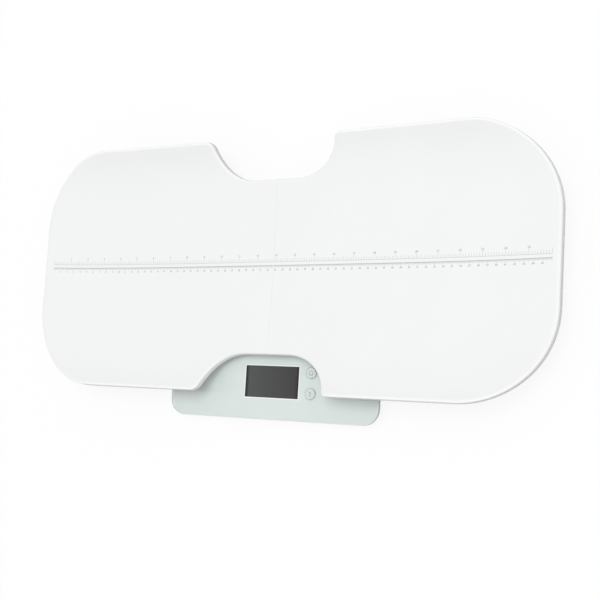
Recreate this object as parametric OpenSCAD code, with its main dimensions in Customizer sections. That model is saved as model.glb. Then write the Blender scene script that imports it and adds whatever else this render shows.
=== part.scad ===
// Digital baby weighing scale: a lift-off moulded tray with a measuring rule
// on a square glass platform, which stands on four load-cell feet.
// Millimetres, +Z up. The origin lies on the floor under the middle of the
// whole outline. +X runs along the tray and -Y points to the display side.

/* [Glass platform] */
// Side of the square glass plate
glass_w = 280; // [270:1:300]
// Thickness of the glass
glass_t = 6; // [5:0.5:8]
// Radius of the glass plate's corners
glass_corner_r = 20; // [12:1:30]
// Width of the polished bevel round the glass
glass_bevel = 1; // [0.5:0.1:1.4]
// Height of the glass underside over the floor
stand_h = 19; // [18.5:0.5:26]
// How far the glass stands out in front of the tray
display_reach = 29; // [24:1:34]
// Thickness of the printed film on the glass underside
film_t = 0.3; // [0.2:0.05:0.5]

/* [Tray] */
// Length of the tray over its skirt
tray_l = 685; // [640:1:720]
// Depth of the tray over its skirt
tray_d = 305; // [296:1:330]
// Corner radius of the tray
tray_corner_r = 103; // [80:1:120]
// Wall thickness of the tray moulding
tray_wall = 2.4; // [2:0.1:2.8]
// Height of the weighing surface's lowest part over the glass
tray_gap = 9.5; // [9:0.5:14]
// Rise of the weighing surface at the two ends
end_rise = 17; // [10:1:24]
// Rise of the weighing surface at the long edges
side_rise = 29; // [20:1:36]
// Radius of the rolled rim
rim_r = 3.2; // [3:0.1:4.6]
// Height of the skirt below the rim
skirt_h = 10; // [8:0.5:13]
// Outward draft of the skirt
skirt_flare = 0.6; // [0.3:0.1:1.2]
// Depth of the scallops in the front and back edges
scallop_depth = 46.5; // [36:0.5:49]
// Length of the straight floor of a scallop
scallop_floor = 58; // [40:2:80]
// Radius between the floor and the flank of a scallop
scallop_r = 54; // [46:1:66]
// Radius of the lip where a scallop meets the long edge
lip_r = 10; // [8:0.5:14]

/* [Tray underside] */
// Thickness of the stiffening ribs
rib_t = 2; // [1.6:0.1:3]
// Clearance between the ribs and the glass where the tray is lowest
rib_clear = 2.5; // [2:0.5:4]
// Half distance between the two long ribs
rib_y = 80; // [70:1:90]
// Length of the two long ribs
rib_l = 560; // [460:10:600]
// Half distance between the inner cross ribs
rib_x = 105; // [90:1:120]
// Radius of the tray's rubber pads
pad_r = 8; // [6:0.5:10]
// Thickness of the tray's rubber pads
pad_t = 2; // [1.5:0.1:2.4]
// Width of the lugs that locate the tray on the glass
lug_w = 34; // [20:1:50]
// How far the lugs reach below the top of the glass
lug_drop = 4; // [3:0.5:5]
// Clearance between a lug and the edge of the glass
lug_gap = 0.8; // [0.5:0.1:1.5]

/* [Display] */
// Width of the display window
window_w = 72; // [64:1:76]
// Depth of the display window
window_d = 38; // [32:1:42]
// How far the window's middle lies behind the middle of its compartment
window_shift = 0.8; // [-1:0.1:1.6]
// Corner radius of the display window
window_r = 1; // [0.5:0.1:2]
// Margin of the display panel round its window
lcd_margin = 3; // [2.5:0.1:4]
// Thickness of the display panel
lcd_t = 2.8; // [2.4:0.1:3]
// Height of the connector strips and the backlight under the panel
strip_h = 2.4; // [2.1:0.1:2.6]

/* [Keys] */
// Radius of a key cap
key_r = 6.2; // [5.6:0.1:6.8]
// Clearance round a key cap
key_gap = 0.3; // [0.2:0.05:0.4]
// Distance between the two keys
key_pitch = 24.4; // [20:0.2:27]
// Distance from the window's middle to the keys
key_x = 53.4; // [50:0.2:56]
// Travel of a key
key_travel = 0.6; // [0.4:0.1:0.8]
// How far a key stands out of the glass
key_proud = 0.4; // [0.2:0.1:0.6]

/* [Display housing] */
// Width of the display housing
housing_w = 124; // [122:1:132]
// Depth of the display housing
housing_d = 100; // [98:1:108]
// Offset of the display housing from the window's middle, along the tray
housing_x = 8; // [7:0.5:10]
// Distance from the front edge of the glass to the display housing
housing_setback = 13; // [12:0.5:15]
// Wall thickness of the display housing
housing_wall = 1.8; // [1.6:0.1:2.2]
// Thickness of the housing's deck under the glass
deck_t = 1.2; // [1:0.1:1.5]
// Corner radius of the display housing
housing_r = 7; // [5:0.5:9]
// Height of the bottom cover
cover_h = 3; // [2.8:0.1:3.4]
// Ground clearance below the bottom cover
cover_z = 4; // [3.6:0.1:4.2]

/* [Battery bay] */
// Diameter of a battery cell
cell_d = 10.5; // [10.2:0.1:10.6]
// Length of a battery cell with its terminal
cell_l = 44.5; // [43:0.5:45]
// Distance between neighbouring cells
cell_pitch = 11.6; // [11.2:0.1:12]
// Working length of a contact spring
spring_l = 6.2; // [5:0.2:7]
// Wire diameter of a contact spring
wire_d = 0.7; // [0.6:0.05:0.8]
// Turns of a contact spring
spring_turns = 4; // [3:1:5]
// Spare depth of the bay beyond its three cells' pitches
bay_play = 1; // [0.8:0.1:2]
// Clearance round the battery door
door_gap = 0.3; // [0.2:0.05:0.4]

/* [Load-cell feet] */
// Distance from the edge of the glass to the middle of a foot
foot_inset = 32; // [30:1:40]
// Side of a sensor housing
sensor_w = 48; // [46:1:54]
// Corner radius of a sensor housing
sensor_r = 9; // [6:0.5:12]
// Side of the load cell plate
plate_w = 34; // [30:1:35]
// Thickness of the load cell plate
plate_t = 1.2; // [1:0.1:1.6]
// Radius of a foot cup
cup_r = 18; // [16:0.5:19]
// Radius of a rubber foot
foot_r = 15; // [13:0.5:16]
// Thickness of a rubber foot
foot_t = 3; // [2.6:0.1:3.4]
// Width of a sensor's flat lead
lead_w = 3.6; // [3:0.1:4.4]
// Thickness of a sensor's flat lead
lead_t = 1.3; // [1:0.1:1.6]

/* [Hidden] */

$fn = 64;
eps = 0.01;
// How far a cutting solid stands out of what it cuts
over = 1;
// Share of a rounded edge's width at which its middle point lies
edge_mid = 0.3;

// Corners of the platform, as signs along X and Y
front_left = [-1, -1];
front_right = [1, -1];
back_left = [-1, 1];
back_right = [1, 1];
CORNERS = [front_left, front_right, back_left, back_right];

// Plan positions: the outline runs from the glass's front edge to the tray's back edge
front_y = -(tray_d + display_reach) / 2;
glass_y = front_y + glass_w / 2;
tray_y = display_reach / 2;

// Levels
glass_top = stand_h + glass_t;
film_z = stand_h - film_t;
surface_z = glass_top + tray_gap;
deck_z = film_z - deck_t;
lcd_z = film_z - lcd_t;
board_t = 1.6;
board_top = lcd_z - strip_h;
board_z = board_top - board_t;
shell_z = cover_z + cover_h;

// ---------------------------------------------------------------- helpers

// Points of an arc about c from angle a0 to angle a1, in n steps
function arc(c, r, a0, a1, n) =
    [for (i = [0:n]) c + r * [cos(a0 + (a1 - a0) * i / n), sin(a0 + (a1 - a0) * i / n)]];

// Flat rectangle with true arcs at its corners
module rounded_rect(w, d, r) {
    square([w - 2 * r, d], center = true);
    square([w, d - 2 * r], center = true);
    for (x = [-1, 1], y = [-1, 1])
        translate([x * (w / 2 - r), y * (d / 2 - r)]) circle(r);
}

// Slab whose edge follows a profile of [inset, z] points all round
module profiled_slab(w, d, r, profile) {
    n = len(profile);
    module bar(length, width)
        linear_extrude(length, center = true)
            polygon([
                for (p = profile) [width / 2 - p[0], p[1]],
                for (i = [n - 1:-1:0]) [profile[i][0] - width / 2, profile[i][1]]
            ]);
    rotate([90, 0, 90]) bar(w - 2 * r, d);
    rotate([90, 0, 0]) bar(d - 2 * r, w);
    for (x = [-1, 1], y = [-1, 1])
        translate([x * (w / 2 - r), y * (d / 2 - r), 0])
            rotate_extrude()
                polygon([
                    [0, profile[0][1]],
                    for (p = profile) [r - p[0], p[1]],
                    [0, profile[n - 1][1]]
                ]);
}

// ---------------------------------------------------------- glass platform

module glass_plate() {
    color([0.84, 0.9, 0.88, 0.6])
        difference() {
            translate([0, glass_y, stand_h])
                profiled_slab(glass_w, glass_w, glass_corner_r, [
                    [glass_bevel, 0], [0, glass_bevel],
                    [0, glass_t - glass_bevel], [glass_bevel, glass_t]
                ]);
            key_holes(stand_h, glass_t);
        }
}

// Printed film under the glass, open at the window and at the keys
module back_print() {
    film_inset = glass_bevel;
    color("whitesmoke")
        difference() {
            translate([0, glass_y, film_z])
                linear_extrude(film_t)
                    rounded_rect(glass_w - 2 * film_inset, glass_w - 2 * film_inset,
                                 glass_corner_r - film_inset);
            translate([0, window_y, film_z - eps])
                linear_extrude(film_t + 2 * eps) rounded_rect(window_w, window_d, window_r);
            key_holes(film_z, film_t);
        }
}

// Holes for the two keys through a layer that starts at z
module key_holes(z, t)
    for (side = [-1, 1])
        translate([key_x, window_y + side * key_pitch / 2, z - eps])
            cylinder(h = t + 2 * eps, r = key_r + key_gap);

// -------------------------------------------------------------------- tray

half_l = tray_l / 2;
half_d = tray_d / 2;
floor_y = half_d - scallop_depth;
// Angle of a scallop's flank where its two arcs meet
flank = acos(1 - scallop_depth / (scallop_r + lip_r));
lip_x = scallop_floor / 2 + (scallop_r + lip_r) * sin(flank);
spine_x = half_l - tray_corner_r;

// Height of the weighing surface over a point seen from the tray's middle
function dish(p) =
    surface_z + end_rise * pow(abs(p[0]) / half_l, 4) + side_rise * pow(abs(p[1]) / half_d, 4);

// A quarter of the outline as [point, outward direction] pairs, from the
// middle of the scallop's floor round the corner to the straight end
function on_line(a, b, dir, n) = [for (i = [0:n - 1]) [a + (b - a) * i / n, dir]];
function on_arc(c, r, a0, a1, n, sign) = [
    for (i = [0:n - 1])
        let (a = a0 + (a1 - a0) * i / n, dir = [cos(a), sin(a)])
            [c + r * dir, sign * dir]
];
quarter = concat(
    on_line([0, floor_y], [scallop_floor / 2, floor_y], [0, 1], 2),
    on_arc([scallop_floor / 2, floor_y + scallop_r], scallop_r, -90, flank - 90, 7, -1),
    on_arc([lip_x, half_d - lip_r], lip_r, 90 + flank, 90, 4, 1),
    on_line([lip_x, half_d], [spine_x, half_d], [0, 1], 6),
    on_arc([spine_x, half_d - tray_corner_r], tray_corner_r, 90, 0, 12, 1),
    [[[half_l, half_d - tray_corner_r], [1, 0]]]
);
quarter_n = len(quarter);

// The whole outline, clockwise seen from above: each quarter mirrors the last
function flip(q, sx, sy) = [[q[0][0] * sx, q[0][1] * sy], [q[1][0] * sx, q[1][1] * sy]];
outline = concat(
    quarter,
    [for (i = [quarter_n - 1:-1:1]) flip(quarter[i], 1, -1)],
    [for (i = [0:quarter_n - 1]) flip(quarter[i], -1, -1)],
    [for (i = [quarter_n - 1:-1:1]) flip(quarter[i], -1, 1)]
);
outline_n = len(outline);

// The skin's cross-section: [inset from the outline, drop below the surface]
skin_inset = skirt_flare + rim_r;
outer_roll = [
    for (a = [0:30:90]) [skin_inset - rim_r * sin(a), rim_r * (1 - cos(a))]
];
inner_roll = [
    for (a = [90:-45:0])
        [skin_inset - (rim_r - tray_wall) * sin(a), rim_r - (rim_r - tray_wall) * cos(a)]
];
rim_section = concat(
    outer_roll,
    [[0, skirt_h], [tray_wall, skirt_h]],
    inner_roll
);
// Steps from the rim to the tray's long middle line
SHEET_STEPS = [0.88, 0.66, 0.48, 0.33, 0.2, 0.09];

function spine(p) = [max(-spine_x, min(spine_x, p[0])), 0];
function rim_point(q, s) =
    let (p = q[0] - q[1] * s[0]) [p[0], p[1] + tray_y, dish(p) - s[1]];
function sheet_point(q, t, drop) =
    let (a = q[0] - q[1] * skin_inset, p = a + (spine(a) - a) * t)
        [p[0], p[1] + tray_y, dish(p) - drop];

rings = concat(
    [for (t = SHEET_STEPS) [for (q = outline) sheet_point(q, t, 0)]],
    [for (s = rim_section) [for (q = outline) rim_point(q, s)]],
    [for (i = [len(SHEET_STEPS) - 1:-1:0])
        [for (q = outline) sheet_point(q, SHEET_STEPS[i], tray_wall)]]
);

// Closed skin through a stack of rings. The first and last ring are closed
// by a strip between each point and its mirror image across the middle line.
module ring_skin(rings, n) {
    last = (len(rings) - 1) * n;
    pair_n = n / 2;
    quarter_n = (n + 2) / 4;
    function idx(i) = (i + n) % n;
    sides = [
        for (k = [0:len(rings) - 2], i = [0:n - 1])
            let (a = k * n + i, b = k * n + idx(i + 1))
                each [[a, b + n, b], [a, a + n, b + n]]
    ];
    // Pairs across the middle line, from one end of the tray to the other
    pairs = [for (k = [0:pair_n - 1]) [idx(quarter_n - 1 - k), idx(quarter_n + k)]];
    caps = [
        for (k = [0:pair_n - 2])
            let (a = pairs[k], b = pairs[k + 1])
                each [[a[0], a[1], b[0]], [a[1], b[1], b[0]]]
    ];
    polyhedron(
        points = [for (ring = rings) each ring],
        faces = concat(
            sides,
            caps,
            [for (f = caps) [last + f[0], last + f[2], last + f[1]]]
        )
    );
}

// Upright rib from a to b, in plan from the tray's middle. Its upper edge
// follows the moulding, half-way into the wall, and so does its lower edge
// unless that is level.
module rib(a, b, level = undef) {
    steps = max(1, round(norm(b - a) / rib_step));
    across = rib_t / 2 * [a[1] - b[1], b[0] - a[0]] / norm(b - a);
    sections = [
        for (i = [0:steps])
            let (p = a + (b - a) * i / steps, l = p + across, r = p - across,
                 low = is_undef(level) ? dish(p) - tray_gap + rib_clear : level,
                 top = dish(p) - tray_wall / 2)
                [[l[0], l[1] + tray_y, low], [r[0], r[1] + tray_y, low],
                 [r[0], r[1] + tray_y, top], [l[0], l[1] + tray_y, top]]
    ];
    end = 4 * steps;
    polyhedron(
        points = [for (s = sections) each s],
        faces = concat(
            [[0, 2, 1], [0, 3, 2], [end, end + 1, end + 2], [end, end + 2, end + 3]],
            [for (k = [0:steps - 1], j = [0:3])
                let (u = 4 * k + j, v = 4 * k + (j + 1) % 4)
                    each [[u, v + 4, u + 4], [u, v, v + 4]]]
        )
    );
}

// Round post at c, in plan from the tray's middle. It stands on the level z
// and its top follows the moulding, half-way into the wall.
module post(c, r, z) {
    n = 24;
    function top(p) = [p[0], p[1] + tray_y, dish(p) - tray_wall / 2];
    function bottom(p) = [p[0], p[1] + tray_y, z];
    ring = [for (i = [0:n - 1]) c + r * [cos(360 * i / n), sin(360 * i / n)]];
    polyhedron(
        points = concat(
            [for (p = ring) bottom(p)], [for (p = ring) top(p)], [bottom(c), top(c)]
        ),
        faces = [
            for (i = [0:n - 1])
                let (j = (i + 1) % n)
                    each [[i, n + i, n + j], [i, n + j, j],
                          [2 * n, i, j], [2 * n + 1, n + j, n + i]]
        ]
    );
}

// Longest stretch of a rib between two of its sections
rib_step = 40;

// Edge of the glass, seen from the tray's middle, with the lugs' clearance
lug_x = glass_w / 2 + lug_gap + rib_t / 2;
lug_back_y = glass_y + glass_w / 2 - tray_y + lug_gap + rib_t / 2;
lug_side_y = rib_y - lug_w;
lug_back_x = rib_x - lug_w;

// Dished moulding with its rolled rim, skirt, ribs, pad bosses and lugs
module tray_shell() {
    color("white") {
        ring_skin(rings, outline_n);
        for (s = [-1, 1]) {
            rib([-rib_l / 2, s * rib_y], [rib_l / 2, s * rib_y]);
            for (x = [rib_x, 2 * rib_x]) rib([s * x, -rib_y], [s * x, rib_y]);
            for (y = [-1, 1])
                rib([s * lug_x, y * lug_side_y], [s * lug_x, y * (lug_side_y + lug_w)],
                    glass_top - lug_drop);
            rib([s * lug_back_x, lug_back_y], [s * (lug_back_x - lug_w), lug_back_y],
                glass_top - lug_drop);
        }
        for (c = CORNERS) post([c[0] * rib_x, c[1] * rib_y], pad_r, glass_top + pad_t);
    }
}

// Rubber pads on which the tray stands on the glass
module tray_pads() {
    pad_chamfer = 0.4;
    color("gainsboro")
        for (c = CORNERS)
            translate([c[0] * rib_x, tray_y + c[1] * rib_y, glass_top])
                rotate_extrude()
                    polygon([
                        [0, 0], [pad_r - pad_chamfer, 0], [pad_r, pad_chamfer],
                        [pad_r, pad_t], [0, pad_t]
                    ]);
}

// --------------------------------------------------------- display housing

housing_y = front_y + housing_setback + housing_d / 2;
housing_front = housing_y - housing_d / 2;
housing_back = housing_y + housing_d / 2;
glue_lip = 3;

// Battery bay: three cells side by side, between the end contacts
contact_t = 0.4;
bay_w = cell_l + spring_l + 2 * contact_t;
bay_d = 3 * cell_pitch + bay_play;
bay_y = housing_back - housing_wall - bay_d / 2;
cell_gap = 0.3;
cell_z = deck_z - cell_gap - cell_d / 2;
pocket_y = bay_y - bay_d / 2 - housing_wall;

// Main board with its screws
board_gap = 1;
board_w = housing_w - 2 * (housing_wall + board_gap);
board_d = pocket_y - housing_front - housing_wall - 2 * board_gap;
board_y = (pocket_y + housing_front + housing_wall) / 2;
board_screw_inset = 3.4;
board_screw_x = board_w / 2 - board_screw_inset;
board_screw_y = board_d / 2 - board_screw_inset;
board_head_r = 1.9;
board_head_h = 1.1;
board_screw_l = 4.2;
screw_r = 0.9;
screw_gap = 0.05;
boss_r = 2.8;
BOARD_SCREWS = [for (c = CORNERS)
    [housing_x + c[0] * board_screw_x, board_y + c[1] * board_screw_y]];

// Cover screws stand in the corners, outside the board
cover_boss_r = 3.2;
cover_boss_inset = 2;
cover_hole_h = 6;
cover_screw_l = 6.4;
cover_screw_x = (housing_w + bay_w) / 4;
COVER_SCREWS = [for (s = [-1, 1], y = [-1, 1])
    [housing_x + s * cover_screw_x,
     bay_y + y * (bay_d / 2 - cover_boss_r - cover_boss_inset)]];

// Display panel, near the middle of the compartment in front of the bay
window_y = board_y + window_shift;
lcd_w = window_w + 2 * lcd_margin;
lcd_d = window_d + 2 * lcd_margin;
lcd_gap = 0.3;

// Leads enter the housings just under the film
lead_y = bay_y - bay_d / 4;
lead_gap = 0.2;

// Sunk heads of the cover's screws
cover_head_r = 2.2;
cover_head_h = 1.2;
cover_head_sink = 1.4;

// Snap hooks on the cover's front edge, and their catches in the housing's wall
hook_w = 8;
hook_t = 1.2;
hook_h = 4.3;
hook_catch = 0.6;
hook_nib = 1;
hook_rise = 1.4;
hook_gap = 0.2;
hook_x = board_screw_x - 2 * boss_r - hook_w / 2;
hook_z = shell_z + hook_rise;

// Box-shaped pocket between two corners in plan, over a range of heights
module pocket(x0, x1, y0, y1, z0, z1)
    translate([x0, y0, z0]) cube([x1 - x0, y1 - y0, z1 - z0]);

// Slot for a sensor's lead, over a length along X
module lead_slot(x0, x1, y)
    pocket(x0, x1, y - lead_w / 2 - lead_gap, y + lead_w / 2 + lead_gap,
           film_z - lead_t - lead_gap, film_z + eps);

// Upper shell, bonded to the film under the glass
module display_housing() {
    inner_w = housing_w - 2 * housing_wall;
    left = housing_x - inner_w / 2;
    right = housing_x + inner_w / 2;
    color("white")
        difference() {
            union() {
                translate([housing_x, housing_y, shell_z])
                    linear_extrude(film_z - shell_z)
                        rounded_rect(housing_w, housing_d, housing_r);
                translate([housing_x, housing_y, deck_z])
                    linear_extrude(deck_t)
                        rounded_rect(housing_w + 2 * glue_lip, housing_d + 2 * glue_lip,
                                     housing_r + glue_lip);
            }
            // Room for the display and its board, round the board's bosses
            difference() {
                pocket(left, right, housing_front + housing_wall, pocket_y,
                       shell_z - eps, deck_z);
                for (p = BOARD_SCREWS)
                    translate([p[0], p[1], board_top]) cylinder(h = deck_t + deck_z, r = boss_r);
            }
            for (p = BOARD_SCREWS)
                translate([p[0], p[1], board_top - eps])
                    cylinder(h = deck_z - board_top, r = screw_r + screw_gap);
            // Battery bay, closed by the deck
            pocket(housing_x - bay_w / 2, housing_x + bay_w / 2,
                   bay_y - bay_d / 2, bay_y + bay_d / 2, shell_z - eps, deck_z);
            // Hollows beside the bay, round the cover's bosses
            difference() {
                for (s = [-1, 1])
                    translate([housing_x + s * cover_screw_x, bay_y, (shell_z + deck_z) / 2 - eps])
                        cube([(inner_w - bay_w) / 2 - housing_wall, bay_d, deck_z - shell_z],
                             center = true);
                for (p = COVER_SCREWS)
                    translate([p[0], p[1], shell_z]) cylinder(h = deck_z, r = cover_boss_r);
            }
            for (p = COVER_SCREWS)
                translate([p[0], p[1], shell_z - eps]) cylinder(h = cover_hole_h, r = screw_r + screw_gap);
            // Catches for the cover's hooks
            for (s = [-1, 1])
                pocket(housing_x + s * hook_x - hook_w / 2 - hook_gap,
                       housing_x + s * hook_x + hook_w / 2 + hook_gap,
                       housing_front + housing_wall - hook_catch - hook_gap,
                       housing_front + housing_wall + eps,
                       hook_z - hook_gap, hook_z + hook_nib + hook_gap);
            // Display panel and key openings in the deck
            translate([0, window_y, deck_z - eps])
                linear_extrude(deck_t + 2 * eps)
                    square([lcd_w + 2 * lcd_gap, lcd_d + 2 * lcd_gap], center = true);
            key_holes(deck_z, deck_t);
            // Lead slots in both side walls
            for (s = [-1, 1], y = [lead_y, foot_y(-1)])
                lead_slot(housing_x + s * housing_w / 2 - glue_lip - over,
                          housing_x + s * housing_w / 2 + glue_lip + over, y);
        }
}

// Door guides in the bottom cover: a slot with a ledge on either side
door_side = 1;
door_w = bay_w + 2 * door_side;
door_flange = 2;
door_lip_t = 1.1;
door_sink = 0.7;
door_t = cover_h - door_sink;
door_d = housing_back - (bay_y - bay_d / 2);

module housing_cover() {
    edge = 1.2;
    floor_t = 1.5;
    rim = housing_wall;
    hole_gap = 0.3;
    head_gap = 0.25;
    color("white") {
        for (s = [-1, 1]) snap_hook(housing_x + s * hook_x, cover_z + floor_t - eps);
        difference() {
            translate([housing_x, housing_y, cover_z])
                profiled_slab(housing_w, housing_d, housing_r, [
                    [edge, 0], [edge_mid * edge, edge_mid * edge], [0, edge], [0, cover_h]
                ]);
            // Hollow under the board
            translate([housing_x, (housing_front + rim + pocket_y) / 2, cover_z + floor_t])
                linear_extrude(cover_h)
                    rounded_rect(housing_w - 2 * rim, pocket_y - housing_front - rim,
                                 housing_r - rim);
            // Door opening, narrow below and wide above
            pocket(housing_x - door_w / 2 - door_gap, housing_x + door_w / 2 + door_gap,
                   bay_y - bay_d / 2, housing_back + over, cover_z - over, shell_z + over);
            pocket(housing_x - door_w / 2 - door_flange - door_gap,
                   housing_x + door_w / 2 + door_flange + door_gap,
                   bay_y - bay_d / 2, housing_back + over,
                   cover_z + door_lip_t, shell_z + over);
            // Screw holes with sunk heads
            for (p = COVER_SCREWS) {
                translate([p[0], p[1], cover_z - over]) {
                    cylinder(h = cover_h + 2 * over, r = screw_r + hole_gap);
                    cylinder(h = over + cover_head_sink, r = cover_head_r + head_gap);
                }
            }
        }
    }
}

// Hook on the cover at x, standing on its floor at z behind the housing's wall
module snap_hook(x, z) {
    wall_y = housing_front + housing_wall;
    pocket(x - hook_w / 2, x + hook_w / 2, wall_y + hook_gap, wall_y + hook_gap + hook_t,
           z, z + hook_h);
    pocket(x - hook_w / 2, x + hook_w / 2, wall_y - hook_catch, wall_y + hook_gap + eps,
           hook_z, hook_z + hook_nib);
}

// Sliding door with a flange in the cover's guides and a ribbed thumb grip
module battery_door() {
    lip_z = cover_z + door_lip_t + door_gap;
    front = bay_y - bay_d / 2 + door_gap;
    depth = door_d - door_gap;
    grooves = 5;
    groove_pitch = 2.4;
    groove_l = 18;
    groove_r = 0.6;
    groove_inset = 5;
    color("white")
        difference() {
            union() {
                pocket(housing_x - door_w / 2, housing_x + door_w / 2,
                       front, front + depth, cover_z, cover_z + door_t);
                pocket(housing_x - door_w / 2 - door_flange, housing_x + door_w / 2 + door_flange,
                       front, front + depth, lip_z, cover_z + door_t);
            }
            // Thumb grip: a row of grooves near the free edge
            for (i = [0:grooves - 1])
                translate([housing_x, front + depth - groove_inset - i * groove_pitch, cover_z])
                    rotate([0, 90, 0]) cylinder(h = groove_l, r = groove_r, center = true);
        }
}

// Pan-head screw pointing up, its head's underside at z = 0
module screw(head_r, head_h, length) {
    slot_w = 0.5;
    difference() {
        rotate_extrude()
            polygon([
                [0, -head_h], [head_r * 0.7, -head_h], [head_r, -head_h * 0.4], [head_r, 0],
                [screw_r, 0], [screw_r, length - screw_r], [screw_r * 0.3, length], [0, length]
            ]);
        for (a = [0, 90])
            rotate([0, 0, a])
                translate([-head_r * 0.6, -slot_w / 2, -head_h - eps])
                    cube([head_r * 1.2, slot_w, head_h * 0.5]);
    }
}

module cover_screws()
    color("silver")
        for (p = COVER_SCREWS)
            translate([p[0], p[1], cover_z + cover_head_sink])
                screw(cover_head_r, cover_head_h, cover_screw_l);

module board_screws()
    color("silver")
        for (p = BOARD_SCREWS)
            translate([p[0], p[1], board_z]) screw(board_head_r, board_head_h, board_screw_l);

// ----------------------------------------------------------------- display

// Two sheets of glass, the upper one narrower by a ledge on both sides
module lcd_panel() {
    sheet_t = lcd_t / 2;
    ledge = 1.2;
    color([0.3, 0.31, 0.31])
        translate([0, window_y, lcd_z]) {
            linear_extrude(sheet_t) square([lcd_w, lcd_d], center = true);
            translate([0, 0, sheet_t])
                linear_extrude(sheet_t) square([lcd_w, lcd_d - 2 * ledge], center = true);
        }
}

// Frame that holds the panel's edges over the board
module lcd_frame() {
    frame_w = 1.2;
    frame_top = deck_z - lcd_gap;
    latch_w = 6;
    notch_w = 0.8;
    notch_h = 2;
    color("white")
        difference() {
            translate([0, window_y, board_top])
                linear_extrude(frame_top - board_top)
                    square([lcd_w + 2 * (lcd_gap + frame_w), lcd_d + 2 * (lcd_gap + frame_w)],
                           center = true);
            translate([0, window_y, board_top - eps])
                linear_extrude(lcd_t + strip_h)
                    square([lcd_w + 2 * lcd_gap, lcd_d + 2 * lcd_gap], center = true);
            // Relief notches on either side of the latches
            for (s = [-1, 1], x = [-1, 1])
                translate([x * lcd_w / 4 + s * latch_w / 2, window_y, frame_top])
                    cube([notch_w, 2 * lcd_d, 2 * notch_h], center = true);
        }
}

strip_w = 2;
strip_inset = 0.2;
// How much shorter than the window the parts under the panel are at each end
strip_end = 1;
guide_end = 2;

module connector_strips()
    color("dimgray")
        for (s = [-1, 1])
            translate([0, window_y + s * (lcd_d / 2 - strip_w / 2 - strip_inset), board_top])
                linear_extrude(strip_h) square([window_w - 2 * strip_end, strip_w], center = true);

// Light guide with a thinner, tapered foot for its lamps at the left end
module backlight() {
    guide_w = window_w - 2 * guide_end;
    lamp_w = 5;
    lamp_step = 0.6;
    narrow = 6;
    wide = 9;
    color("ivory")
        translate([0, window_y, board_top]) {
            linear_extrude(strip_h) square([guide_w, lcd_d - 4 * strip_w], center = true);
            translate([-guide_w / 2, 0])
                linear_extrude(strip_h - lamp_step)
                    polygon([[-lamp_w, -narrow], [eps, -wide], [eps, wide], [-lamp_w, narrow]]);
        }
}

module main_board() {
    corner_r = 2;
    hole_gap = 0.2;
    color("forestgreen")
        difference() {
            translate([housing_x, board_y, board_z])
                linear_extrude(board_t) rounded_rect(board_w, board_d, corner_r);
            for (p = BOARD_SCREWS)
                translate([p[0], p[1], board_z - eps])
                    cylinder(h = board_t + 2 * eps, r = screw_r + hole_gap);
        }
}

// Moulded drop over the controller, under the board
module controller_chip() {
    drop_r = 7;
    drop_h = 1.6;
    chip_x = -10;
    sphere_r = (drop_r * drop_r + drop_h * drop_h) / (2 * drop_h);
    half_angle = asin(drop_r / sphere_r);
    color("black")
        translate([chip_x, window_y, board_z])
            rotate_extrude()
                polygon(concat(
                    [[0, 0]],
                    arc([0, sphere_r - drop_h], sphere_r, half_angle - 90, -90, 6)
                ));
}

// -------------------------------------------------------------------- keys

flange_w = 1.4;
flange_r = key_r + flange_w;
flange_t = 1;
flange_gap = 0.1;
flange_z = deck_z - flange_gap - flange_t;
plunger_r = 1.6;
plunger_gap = 0.1;
// The switch's floor, and the room left over it when the key is down
switch_floor = 0.3;
switch_top = flange_z - key_travel - plunger_gap;
plunger_z = board_top + key_travel + switch_floor + plunger_gap;

module at_key(side) translate([key_x, window_y + side * key_pitch / 2, 0]) children();

// Cap with a dished top, and a flange that the housing's deck keeps in
module key_cap(side) {
    top = glass_top + key_proud;
    dish = 0.5;
    edge = 0.5;
    dish_r = (pow(key_r - edge, 2) + dish * dish) / (2 * dish);
    half_angle = asin((key_r - edge) / dish_r);
    color("whitesmoke")
        at_key(side)
            rotate_extrude()
                polygon(concat(
                    [[0, flange_z], [flange_r, flange_z], [flange_r, flange_z + flange_t],
                     [key_r, flange_z + flange_t]],
                    arc([key_r - edge, top - edge], edge, 0, 90, 4),
                    arc([0, top - dish + dish_r], dish_r, half_angle - 90, -90, 6)
                ));
}

module key_plunger(side)
    color("dimgray")
        at_key(side)
            translate([0, 0, plunger_z]) cylinder(h = flange_z - plunger_z, r = plunger_r);

// Small square switch under the cap, bored for its plunger
module key_switch(side) {
    body_w = 6;
    corner_r = 0.8;
    color("darkslategray")
        at_key(side)
            difference() {
                translate([0, 0, board_top])
                    linear_extrude(switch_top - board_top) rounded_rect(body_w, body_w, corner_r);
                translate([0, 0, board_top + switch_floor])
                    cylinder(h = switch_top, r = plunger_r + plunger_gap);
            }
}

module key_upper_cap() key_cap(1);
module key_upper_plunger() key_plunger(1);
module key_upper_switch() key_switch(1);
module key_lower_cap() key_cap(-1);
module key_lower_plunger() key_plunger(-1);
module key_lower_switch() key_switch(-1);

// --------------------------------------------------------------- batteries

nub_r = 1.9;
nub_h = 1.2;

// Place something on row i of the bay, its +X towards the positive contact
module at_cell(i)
    translate([housing_x, bay_y + i * cell_pitch, cell_z])
        rotate([0, 0, i == 0 ? 180 : 0]) children();

// Cell whose terminal touches the contact, with softened ends
module cell(i) {
    r = cell_d / 2;
    crimp = 0.5;
    body_l = cell_l - nub_h;
    color("slategray")
        at_cell(i)
            translate([bay_w / 2 - contact_t - cell_l, 0, 0])
                rotate([0, 90, 0])
                    rotate_extrude()
                        polygon([
                            [0, 0], [r - crimp, 0], [r, crimp], [r, body_l - crimp],
                            [r - crimp, body_l], [nub_r, body_l], [nub_r, cell_l], [0, cell_l]
                        ]);
}

module battery_front() cell(-1);
module battery_middle() cell(0);
module battery_back() cell(1);

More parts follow.
